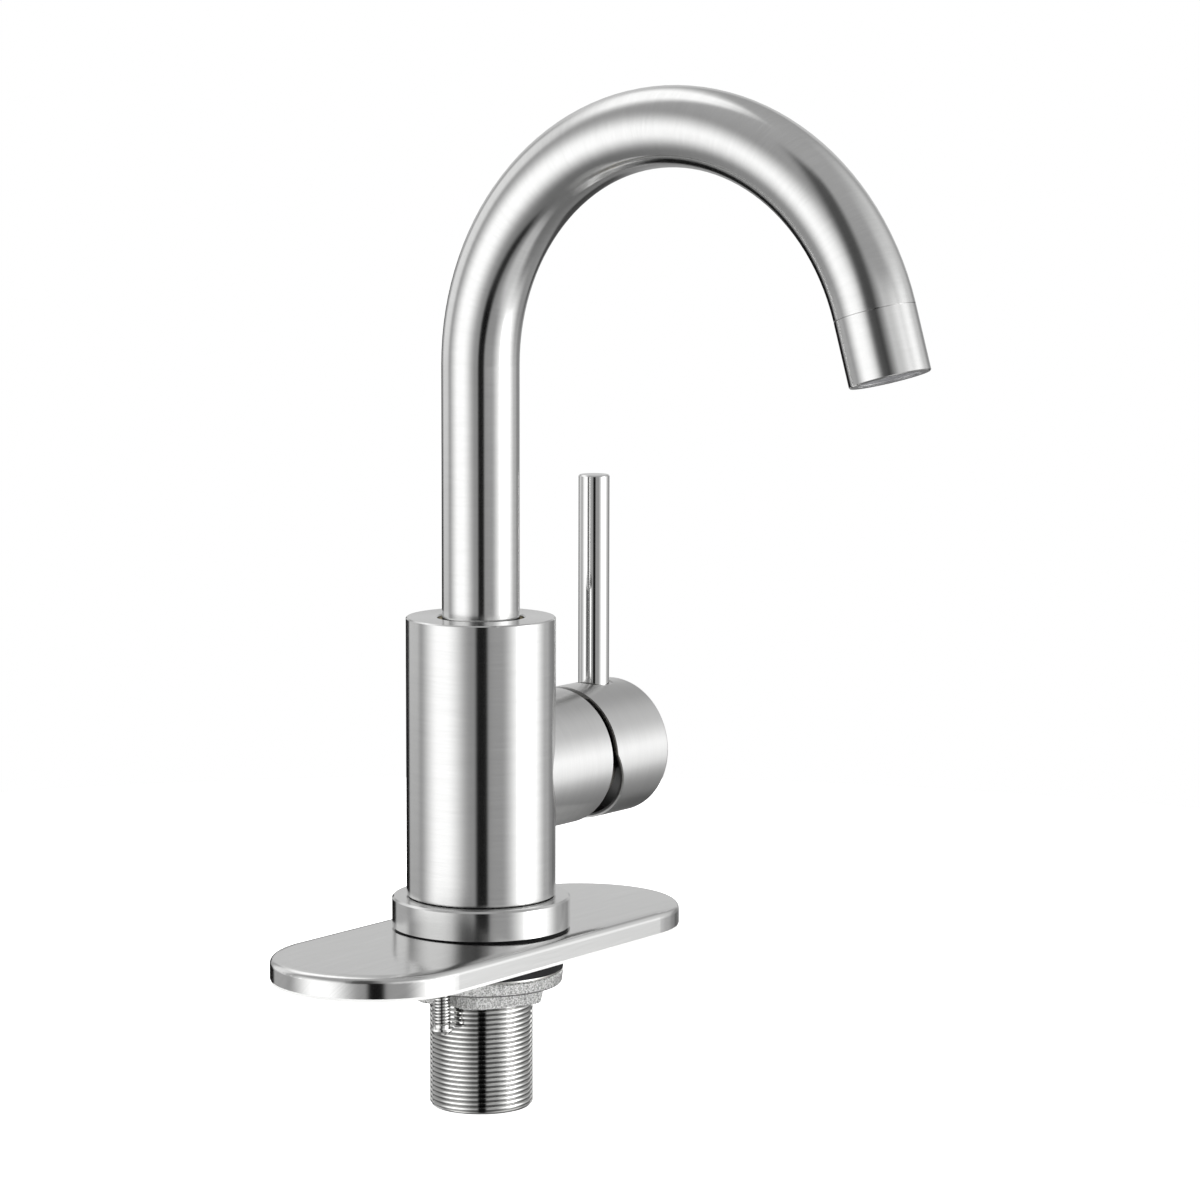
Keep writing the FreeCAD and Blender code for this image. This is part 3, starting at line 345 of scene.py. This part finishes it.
def finish_brushed(graph, shader, brushing, finish):
    """The look of brushed metal: fine lines, broader bands, faint smears and a stretched sheen."""
    lines = brush_marks(graph, brushing, LINES_PER_METRE, LINE_CHANGE, LINE_FINENESS)
    bands = brush_marks(graph, brushing, BANDS_PER_METRE, BAND_CHANGE, BAND_FINENESS)
    grain = graph.math(
        "ADD",
        graph.math("MULTIPLY", lines, LINE_SHARE),
        graph.math("MULTIPLY", bands, 1 - LINE_SHARE),
    )
    place, normal = graph.local()
    smears = graph.noise(place, SMEARS_PER_METRE)
    uneven = graph.math("MULTIPLY_ADD", smears, SMEAR_ROUGHNESS, finish.roughness)
    uneven = graph.math("MULTIPLY_ADD", lines, LINE_ROUGHNESS, uneven)
    uneven = graph.math("SUBTRACT", uneven, (SMEAR_ROUGHNESS + LINE_ROUGHNESS) / 2)
    stretch = graph.vector("CROSS_PRODUCT", brushing.groove, normal)
    set_shader(
        graph,
        shader,
        Base_Color=graph.shade(finish.colour, grain, 1 - finish.streak, 1 + finish.streak),
        Metallic=1.0,
        Roughness=uneven,
        Anisotropic=finish.anisotropy,
        Normal=graph.bump(lines, finish.groove_depth, GROOVE_HEIGHT),
        Tangent=graph.to_world(graph.vector("NORMALIZE", stretch)),
    )


def turned_metal(name, axis, centre, finish):
    """Grooves round one axis."""
    material, graph, shader = new_material(name)
    finish_brushed(graph, shader, brushed_round(graph, axis, centre), finish)
    return material


def body_metal():
    """Grooves round the column, and round the side branch beyond the column's wall."""
    material, graph, shader = new_material("brushed_body")
    column = brushed_round(graph, UP, Vector())
    branch = brushed_round(graph, SIDEWAYS, BRANCH_AXIS_POINT)
    place, _ = graph.local()
    reach = graph.vector("LENGTH", graph.vector("MULTIPLY", place, (1, 1, 0)))
    on_branch = graph.math("GREATER_THAN", reach, BODY_RADIUS + BODY_MARGIN)
    brushing = chosen(graph, on_branch, column, branch)
    roughness = graph.span(on_branch, 0.0, 1.0, COLUMN_FINISH.roughness, BRANCH_ROUGHNESS)
    finish_brushed(graph, shader, brushing, COLUMN_FINISH._replace(roughness=roughness))
    return material


def cap_metal():
    """Brushed outside and in the rod's seat, with painted shade inside."""
    material, graph, shader = new_material("brushed_cap")
    brushing = brushed_round(graph, SIDEWAYS, BRANCH_AXIS_POINT)
    place, _ = graph.local()
    offset = graph.vector("SUBTRACT", place, BRANCH_AXIS_POINT)
    reach = graph.vector("LENGTH", graph.vector("MULTIPLY", offset, (0, 1, 1)))
    along = graph.vector("DOT_PRODUCT", place, SIDEWAYS)
    height = graph.vector("DOT_PRODUCT", offset, UP)
    outside = 0.0
    for distance, start in (
        (reach, CAP_RADIUS - 2 * CAP_LIP),
        (along, CAP_END_INSIDE),
        (height, CAP_SEAT_HEIGHT),
    ):
        past = graph.span(distance, start, start + CAP_LIP, 0.0, 1.0)
        outside = graph.math("MAXIMUM", outside, past)
    # Painted shade: the colour darkens inside the cap, past its lip, its closed end and the rod's
    # seat.
    colour = graph.scaled(NICKEL, graph.span(outside, 0.0, 1.0, CAP_INSIDE_PAINTED_SHADE, 1.0))
    finish_brushed(graph, shader, brushing, CAP_FINISH._replace(colour=colour))
    return material


def spout_metal():
    """Grooves round the tube, up its neck and along its bend."""
    material, graph, shader = new_material("satin_spout")
    finish_brushed(graph, shader, brushed_spout(graph), TUBE_FINISH)
    return material


def plate_metal():
    """Grooves run lengthways over the plate's top."""
    material, graph, shader = new_material("brushed_plate")
    brushing = brushed_straight(graph, SIDEWAYS, Vector((0, 1, 1)))
    finish_brushed(graph, shader, brushing, PLATE_FINISH)
    return material


# ---------------------------------------------------------------- other materials

PLATED_STEEL = (0.62, 0.62, 0.60)
PLATED_BRASS = (0.6, 0.58, 0.54)
BRASS = (0.80, 0.66, 0.38)
THREAD_COLOUR = (0.8, 0.8, 0.79)
THREAD_ROUGHNESS = 0.07
THREAD_ROOT_PAINTED_SHADE = 0.3
THREAD_ROOT_SHARE = 0.4
GREY_PLASTIC = (0.30, 0.30, 0.31)
WHITE_PLASTIC = (0.86, 0.86, 0.85)
LAPPED_CERAMIC = (0.86, 0.85, 0.81)
BLACK_RUBBER = (0.012, 0.012, 0.013)

# The nut's cast skin: the shades of its pits and grains, and the painted shade in its corner, which
# is full to one distance from the corner and gone at another.
CAST_ZINC = (0.76, 0.76, 0.75)
CAST_ROUGHNESS = 0.345
PIT_LEVEL = 0.38
GRAIN_LEVEL = 0.62
PIT_SHADE = 0.4
GRAIN_SHADE = 1.5
SWELL_SHARE = 0.7
PAINTED_CORNER_SHADE = 0.15
PAINTED_SHADE_FULL = 0.15 * MM
PAINTED_SHADE_GONE = 0.6 * MM


def machined_metal(name, colour, roughness):
    """Bare or plated turned metal: a little uneven in colour and gloss."""
    material, graph, shader = new_material(name)
    place, _ = graph.local()
    fine = graph.noise(place, scale=1400.0)
    broad = graph.noise(place, scale=90.0)
    set_shader(
        graph,
        shader,
        Base_Color=graph.shade(colour, broad, 0.96, 1.04),
        Metallic=1.0,
        Roughness=graph.about(roughness, fine, spread=0.1),
        Normal=graph.bump(fine, strength=0.15, distance=0.02 * MM),
    )
    return material


def threaded_metal(name, centre, root, crest):
    """Plated thread: bright on its crests, with painted shade in its roots."""
    material, graph, shader = new_material(name)
    place, _ = graph.local()
    offset = graph.vector("SUBTRACT", place, centre)
    reach = graph.vector("LENGTH", graph.vector("MULTIPLY", offset, (1, 1, 0)))
    height = graph.span(reach, root, crest, 0.0, 1.0)
    fine = graph.noise(place, scale=1200.0)
    broad = graph.noise(place, scale=90.0)
    tint = graph.shade(THREAD_COLOUR, broad, 0.93, 1.05)
    # Painted shade: the colour darkens from the crests down into the thread's roots.
    tint = graph.scaled(tint, graph.span(height, 0.0, THREAD_ROOT_SHARE, THREAD_ROOT_PAINTED_SHADE, 1.0))
    uneven = graph.about(THREAD_ROUGHNESS, fine, spread=0.06)
    set_shader(graph, shader, Base_Color=tint, Metallic=1.0, Roughness=uneven)
    return material


def cast_metal():
    """Die-cast skin: fine pits and swellings, dull, with painted shade in the corner under the
    flange.
    """
    material, graph, shader = new_material("cast_zinc")
    place, _ = graph.local()
    pits = graph.noise(place, scale=1700.0, detail=4.0, roughness=0.75)
    swell = graph.noise(place, scale=260.0)
    tint = graph.scaled(CAST_ZINC, graph.span(pits, PIT_LEVEL, GRAIN_LEVEL, PIT_SHADE, GRAIN_SHADE))
    height = graph.vector("DOT_PRODUCT", place, UP)
    distance = graph.math("ABSOLUTE", graph.math("SUBTRACT", height, NUT_CORNER_HEIGHT))
    # Painted shade: the colour darkens along the corner between the flange and the hexagon.
    tint = graph.scaled(tint, graph.span(distance, PAINTED_SHADE_FULL, PAINTED_SHADE_GONE, PAINTED_CORNER_SHADE, 1.0))
    relief = graph.math("MULTIPLY_ADD", swell, SWELL_SHARE, pits)
    set_shader(
        graph,
        shader,
        Base_Color=tint,
        Metallic=1.0,
        Roughness=graph.about(CAST_ROUGHNESS, pits, spread=0.25),
        Normal=graph.bump(relief, strength=1.0, distance=0.4 * MM),
    )
    return material


def moulded_plastic(name, colour, roughness=0.42, bumpiness=0.1):
    """Moulded or lapped: close to one colour, with a fine skin."""
    material, graph, shader = new_material(name)
    place, _ = graph.local()
    fine = graph.noise(place, scale=900.0)
    broad = graph.noise(place, scale=60.0, detail=2.0, roughness=0.5)
    set_shader(
        graph,
        shader,
        Base_Color=graph.shade(colour, broad, 0.96, 1.02),
        Roughness=graph.about(roughness, fine, spread=0.12),
        Normal=graph.bump(fine, strength=bumpiness, distance=0.05 * MM),
    )
    return material


def black_rubber():
    """Rubber with a faint bloom."""
    material, graph, shader = new_material("black_rubber")
    place, _ = graph.local()
    fine = graph.noise(place, scale=1100.0, roughness=0.65)
    bloom = graph.noise(place, scale=120.0)
    set_shader(
        graph,
        shader,
        Base_Color=graph.shade(BLACK_RUBBER, bloom, 0.7, 1.6),
        Roughness=graph.about(0.55, fine, spread=0.2),
        Specular_IOR_Level=0.1,
        Normal=graph.bump(fine, strength=0.3, distance=0.06 * MM),
    )
    return material


def dress_nodes():
    """A material for each node of the frame."""
    looks = {
        body_metal(): ["body_casting"],
        turned_metal("brushed_ring", UP, Vector(), RING_FINISH): ["base_ring"],
        spout_metal(): ["spout_tube"],
        turned_metal(
            "brushed_sleeve", NOZZLE_DIRECTION, NOZZLE_START, SLEEVE_FINISH
        ): ["outlet_sleeve"],
        plate_metal(): ["deck_plate"],
        cap_metal(): ["handle_cap"],
        turned_metal("fine_brushed_rod", UP, ROD_CENTRE, ROD_FINISH): ["lever_rod"],
        cast_metal(): ["mounting_nut"],
        machined_metal("plated_steel", PLATED_STEEL, roughness=0.24): [
            "steel_washer",
            "pivot_pin",
            "cartridge_stem",
            "handle_set_screw",
            "jam_screws",
            "threaded_shank",
        ],
        machined_metal("plated_brass", PLATED_BRASS, roughness=0.35): ["cartridge_nut"],
        machined_metal("machined_brass", BRASS, roughness=0.25): [
            "spout_gland_ring",
            "spout_spigot",
            "outlet_nipple",
        ],
        moulded_plastic("grey_plastic", GREY_PLASTIC): [
            "spout_thrust_washer",
            "spout_bearing",
            "aerator_body",
            "aerator_screen",
            "disc_carrier",
            "cartridge_rotor",
        ],
        moulded_plastic("white_plastic", WHITE_PLASTIC): [
            "deck_plate_underlay",
            "cartridge_base",
            "cartridge_housing",
        ],
        moulded_plastic("lapped_ceramic", LAPPED_CERAMIC, roughness=0.15, bumpiness=0.02): [
            "ceramic_disc_fixed",
            "ceramic_disc_moving",
        ],
        black_rubber(): [
            "rubber_washer",
            "base_seal",
            "body_gasket",
            "spigot_o_ring_lower",
            "spigot_o_ring_upper",
            "aerator_seal",
            "cartridge_port_seals",
        ],
    }
    for material, nodes in looks.items():
        for node in nodes:
            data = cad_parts[node].data
            data.materials.clear()
            data.materials.append(material)


# ---------------------------------------------------------------- threads

# A thread's outline: the share of a pitch at which each corner lies, and how deep it is there,
# 0 on the crest and 1 on the root. The depth of the root is a share of the pitch.
THREAD_OUTLINE = [(0.0, 1.0), (0.14, 1.0), (0.4, 0.0), (0.74, 0.0)]
THREAD_DEPTH = 0.5
MERGE_DISTANCE = 0.0005 * MM
SHANK_PITCH = 1.5 * MM
SHANK_SIDES = 128
SHANK_BORE = 14.0 * MM
SHANK_CHAMFER = 0.8 * MM
SHANK_THREAD_TOP = 0.0
SHANK_CREASE = 25
SCREW_PITCH = 1.0 * MM
SCREW_SIDES = 32
SCREW_RADIUS = 2.7 * MM
SCREW_CHAMFER = 0.25 * MM
SCREW_CREASE = 30
SCREW_HEAD_RADIUS = 3.6 * MM
SCREW_HEAD_TOP = -20.0 * MM
SCREW_HEAD_BEVEL = 1.2 * MM
SCREW_BEVEL_SLOPE = 0.75
SCREW_NECK = 1.1 * MM
SCREW_NECK_RADIUS = 2.45 * MM
SLOT_WIDTH = 1.0 * MM
SLOT_DEPTH = 0.9 * MM
SLOT_REACH = 3 * SCREW_RADIUS
SLOT_TURN = math.radians(-45)


def thread_depth_at(share):
    """The thread's depth at a share of a pitch, 0 on the crest and 1 on the root."""
    corners = THREAD_OUTLINE + [(1.0, 1.0)]
    for (start, start_depth), (end, end_depth) in zip(corners, corners[1:]):
        if share <= end:
            return start_depth + (end_depth - start_depth) * (share - start) / (end - start)
    return 1.0


def threaded_mesh(name, radius, pitch, low, high, rest, sides, chamfer):
    """A right-hand thread from low to high, with a chamfer at its low end. rest is the remainder
    of the outline, as (radius, height), from the thread's top round to its low end."""
    shape = bmesh.new()
    turns = math.ceil((high - low) / pitch) + 2
    previous = []
    for side in range(sides + 1):
        share = side / sides
        section = []
        for turn in range(turns):
            for step, _ in THREAD_OUTLINE:
                height = low + (turn - 1 + share + step) * pitch
                height = min(max(height, low), high)
                phase = ((height - low) / pitch - share) % 1.0
                reach = radius - THREAD_DEPTH * pitch * thread_depth_at(phase)
                section.append((min(reach, radius - chamfer + height - low), height))
        section += rest
        angle = 2 * math.pi * share
        ring = [
            shape.verts.new((reach * math.cos(angle), reach * math.sin(angle), height))
            for reach, height in section
        ]
        for place in range(len(previous)):
            after = (place + 1) % len(ring)
            shape.faces.new((previous[place], ring[place], ring[after], previous[after]))
        previous = ring
    bmesh.ops.remove_doubles(shape, verts=shape.verts, dist=MERGE_DISTANCE)
    bmesh.ops.dissolve_degenerate(shape, edges=shape.edges, dist=MERGE_DISTANCE)
    bmesh.ops.recalc_face_normals(shape, faces=shape.faces)
    mesh = bpy.data.meshes.new(name)
    shape.to_mesh(mesh)
    shape.free()
    return mesh


def new_piece(name, mesh, body, node):
    """A piece that stands for a node of the frame and moves with its body."""
    piece = bpy.data.objects.new(name, mesh)
    bpy.context.collection.objects.link(piece)
    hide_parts(node)
    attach(piece, body)


def smooth_by_angle(mesh, degrees):
    """Smooth shading with sharp creases where faces meet at more than an angle."""
    mesh.shade_smooth()
    mesh.set_sharp_from_angle(angle=math.radians(degrees))


def make_threaded_shank():
    """The hollow shank, threaded below the deck and plain where the body holds it."""
    rest = [
        (SHANK_RADIUS, SHANK_THREAD_TOP),
        (SHANK_RADIUS, SHANK_HIGH.z),
        (SHANK_BORE, SHANK_HIGH.z),
        (SHANK_BORE, SHANK_LOW.z),
    ]
    mesh = threaded_mesh(
        "shank_thread",
        SHANK_RADIUS,
        SHANK_PITCH,
        SHANK_LOW.z,
        SHANK_THREAD_TOP,
        rest,
        SHANK_SIDES,
        SHANK_CHAMFER,
    )
    smooth_by_angle(mesh, SHANK_CREASE)
    root = SHANK_RADIUS - THREAD_DEPTH * SHANK_PITCH
    mesh.materials.append(threaded_metal("plated_shank", Vector(), root, SHANK_RADIUS))
    new_piece("shank_thread", mesh, "root", "threaded_shank")


def slotted(mesh, centre_height):
    """A copy of a screw's mesh with a straight slot cut across its head."""
    screw = bpy.data.objects.new("screw_blank", mesh)
    cutter_mesh = bpy.data.meshes.new("slot_cutter")
    cutter_shape = bmesh.new()
    bmesh.ops.create_cube(cutter_shape, size=2)
    size = Matrix.Diagonal((SLOT_WIDTH / 2, SLOT_REACH, SLOT_DEPTH, 1))
    turn = Matrix.Rotation(SLOT_TURN, 4, "Z")
    place = Matrix.Translation((0, 0, centre_height))
    bmesh.ops.transform(cutter_shape, matrix=place @ turn @ size, verts=cutter_shape.verts)
    cutter_shape.to_mesh(cutter_mesh)
    cutter_shape.free()
    cutter = bpy.data.objects.new("slot_cutter", cutter_mesh)
    for item in (screw, cutter):
        bpy.context.collection.objects.link(item)
    cut = screw.modifiers.new("slot", "BOOLEAN")
    cut.operation = "DIFFERENCE"
    cut.solver = "EXACT"
    cut.object = cutter
    bpy.context.view_layer.update()
    ready = screw.evaluated_get(bpy.context.evaluated_depsgraph_get())
    result = bpy.data.meshes.new_from_object(ready)
    for item in (screw, cutter):
        bpy.data.objects.remove(item)
    return result


def make_jam_screws():
    """Two slotted screws through the nut's flange, in one piece as in the node. A screw is made
    on the world's axis and then set in place twice, once on each side of the shank."""
    head_low = SCREW_LOW.z
    side = Vector((SCREW_HIGH.x - SCREW_HEAD_RADIUS, SCREW_HIGH.y - SCREW_HEAD_RADIUS, 0))
    neck_top = SCREW_HEAD_TOP + SCREW_NECK
    rest = [
        (0.0, SCREW_HIGH.z),
        (0.0, head_low),
        (SCREW_HEAD_RADIUS - SCREW_HEAD_BEVEL * SCREW_BEVEL_SLOPE, head_low),
        (SCREW_HEAD_RADIUS, head_low + SCREW_HEAD_BEVEL),
        (SCREW_HEAD_RADIUS, SCREW_HEAD_TOP),
        (SCREW_NECK_RADIUS, SCREW_HEAD_TOP),
        (SCREW_NECK_RADIUS, neck_top),
    ]
    blank = threaded_mesh(
        "jam_screw",
        SCREW_RADIUS,
        SCREW_PITCH,
        neck_top,
        SCREW_HIGH.z,
        rest,
        SCREW_SIDES,
        SCREW_CHAMFER,
    )
    mesh = slotted(blank, head_low)
    both = bmesh.new()
    for place, centre in enumerate((side, -side)):
        first_vert = len(both.verts)
        first_face = len(both.faces)
        both.from_mesh(mesh)
        both.verts.ensure_lookup_table()
        both.faces.ensure_lookup_table()
        bmesh.ops.translate(both, vec=centre, verts=both.verts[first_vert:])
        for face in both.faces[first_face:]:
            face.material_index = place
    pair = bpy.data.meshes.new("jam_screw_pair")
    both.to_mesh(pair)
    both.free()
    smooth_by_angle(pair, SCREW_CREASE)
    root = SCREW_RADIUS - THREAD_DEPTH * SCREW_PITCH
    for name, centre in (("plated_screw_right", side), ("plated_screw_left", -side)):
        pair.materials.append(threaded_metal(name, centre, root, SCREW_RADIUS))
    new_piece("slotted_jam_screws", pair, "root", "jam_screws")


# ---------------------------------------------------------------- studio

# A patch of the studio's walls: where it stands, seen from the faucet, in degrees. The azimuth
# counts from the camera's side, to the right as the camera's own reflection sees it. Each half
# size is followed by the width over which the patch fades out.
Patch = namedtuple("Patch", "azimuth half_width fade elevation half_height fade_up strength")
SOFT_BOXES = [
    Patch(-60, 6, 42, -10, 5, 45, 1.15),  # the wide box on the left
    Patch(77, 10, 34, -6, 10, 30, 1.2),  # the wide box on the right
    Patch(75, 8, 10, -8, 10, 10, 1.5),  # its brighter middle
    Patch(105, 15, 35, 20, 10, 35, 0.38),  # on the right and above, for the branch and the cap
    Patch(42, 14, 18, 14, 8, 12, 0.4),  # by the camera, to the right
    Patch(56, 12, 28, -52, 12, 18, 0.45),  # low on the right, under the bend
    Patch(-140, 15, 30, 55, 10, 25, 1.0),  # high on the left and behind, over the bend
    Patch(-125, 10, 15, 10, 10, 15, 0.6),  # on the left, behind
    Patch(180, 20, 12, 15, 8, 12, 0.26),  # behind, for the plate's top
]
DARK_FLAGS = [
    Patch(3, 6, 6, -8, 14, 10, 0.97),  # by the camera: the dark line down the column
    Patch(3, 4, 12, -40, 18, 14, 0.9),  # the same, lower
    Patch(-12, 7, 20, 32, 22, 14, 0.78),  # the same, higher
    Patch(-154, 8, 6, -30, 22, 6, 0.97),  # behind on the left, low: the column's left edge
    Patch(-167, 6, 6, -5, 6, 4, 0.97),  # the same, at the height of the faucet
    Patch(160, 10, 10, -28, 12, 10, 0.8),  # behind on the right, low
    Patch(143, 6, 12, -5, 8, 10, 0.3),  # behind on the right: the column's right edge
]
# The walls' own grey, which changes from below to level and from level to overhead.
GREY_BELOW = 0.2
GREY_LEVEL = 0.4
GREY_OVERHEAD = 0.5
BELOW_FROM, BELOW_TO = -75, -10
OVERHEAD_FROM, OVERHEAD_TO = 0, 80
WHITE = (1, 1, 1, 1)


def patch_level(graph, azimuth, elevation, patch):
    """How much of a patch covers a direction: 1 on it, fading to 0 past its edges."""
    turn = graph.math("SUBTRACT", azimuth, float(patch.azimuth))
    turn = graph.math("ABSOLUTE", graph.math("WRAP", turn, 180.0, -180.0))
    across = graph.span(turn, patch.half_width, patch.half_width + patch.fade, 1, 0, True)
    lift = graph.math("ABSOLUTE", graph.math("SUBTRACT", elevation, float(patch.elevation)))
    upward = graph.span(lift, patch.half_height, patch.half_height + patch.fade_up, 1, 0, True)
    return graph.math("MULTIPLY", graph.math("MULTIPLY", across, upward), patch.strength)


def make_studio_walls():
    """Soft boxes and dark flags that the metal mirrors. The camera sees a white backdrop."""
    world = bpy.data.worlds.new("studio")
    bpy.context.scene.world = world
    world.use_nodes = True
    graph = Graph(world.node_tree)
    direction = graph.add("ShaderNodeTexCoord").outputs["Generated"]
    axes = graph.add("ShaderNodeSeparateXYZ", {"Vector": direction})
    backwards = graph.math("MULTIPLY", axes.outputs["Y"], -1.0)
    heading = graph.math("ARCTAN2", axes.outputs["X"], backwards)
    azimuth = graph.math("DEGREES", graph.math("SUBTRACT", heading, CAMERA_AZIMUTH))
    elevation = graph.math("DEGREES", graph.math("ARCSINE", axes.outputs["Z"]))
    above = graph.span(elevation, OVERHEAD_FROM, OVERHEAD_TO, GREY_LEVEL, GREY_OVERHEAD, True)
    level = graph.span(elevation, BELOW_FROM, BELOW_TO, GREY_BELOW, above, True)
    for box in SOFT_BOXES:
        level = graph.math("ADD", level, patch_level(graph, azimuth, elevation, box))
    for flag in DARK_FLAGS:
        left = graph.math("SUBTRACT", 1.0, patch_level(graph, azimuth, elevation, flag))
        level = graph.math("MULTIPLY", level, left)
    walls = graph.add("ShaderNodeBackground", {"Color": WHITE, "Strength": level})
    backdrop = graph.add("ShaderNodeBackground", {"Color": WHITE, "Strength": 1.0})
    seen = graph.add("ShaderNodeLightPath").outputs["Is Camera Ray"]
    both = graph.add(
        "ShaderNodeMixShader",
        {"Fac": seen, 1: walls.outputs["Background"], 2: backdrop.outputs["Background"]},
    )
    graph.add("ShaderNodeOutputWorld", {"Surface": both.outputs["Shader"]})


FLOOR_RADIUS = 0.6
FLOOR_SIDES = 96
FLOOR_COLOUR = (0.9, 0.9, 0.9)
FLOOR_GLOW = 0.8
OVERHEAD_SIZE = 1.6
OVERHEAD_HEIGHT = 1.4
OVERHEAD_WATTS = 16.0


def make_floor():
    """A pale round floor under the shank, which no metal mirrors."""
    mesh = bpy.data.meshes.new("studio_floor")
    shape = bmesh.new()
    bmesh.ops.create_circle(shape, cap_ends=True, segments=FLOOR_SIDES, radius=FLOOR_RADIUS)
    shape.to_mesh(mesh)
    shape.free()
    floor = bpy.data.objects.new("studio_floor", mesh)
    bpy.context.collection.objects.link(floor)
    floor.location = (0, 0, SHANK_LOW.z)
    floor.visible_glossy = False
    material, graph, shader = new_material("pale_floor")
    place, _ = graph.local()
    clouds = graph.noise(place, scale=3.0, roughness=0.55)
    set_shader(
        graph,
        shader,
        Base_Color=graph.shade(FLOOR_COLOUR, clouds, 0.99, 1.0),
        Roughness=0.9,
        Emission_Color=WHITE,
        Emission_Strength=FLOOR_GLOW,
    )
    mesh.materials.append(material)


def make_overhead_light():
    """A wide soft light that reaches matte things and leaves no mark in the metal."""
    data = bpy.data.lights.new("overhead_soft_light", "AREA")
    data.shape = "SQUARE"
    data.size = OVERHEAD_SIZE
    data.energy = OVERHEAD_WATTS
    light = bpy.data.objects.new("overhead_soft_light", data)
    bpy.context.collection.objects.link(light)
    light.location = (0, 0, OVERHEAD_HEIGHT)
    light.visible_glossy = False
    light.visible_camera = False


def make_studio():
    make_studio_walls()
    make_floor()
    make_overhead_light()
    bpy.context.scene.view_settings.view_transform = "Standard"


make_camera()
dress_nodes()
make_threaded_shank()
make_jam_screws()
make_studio()
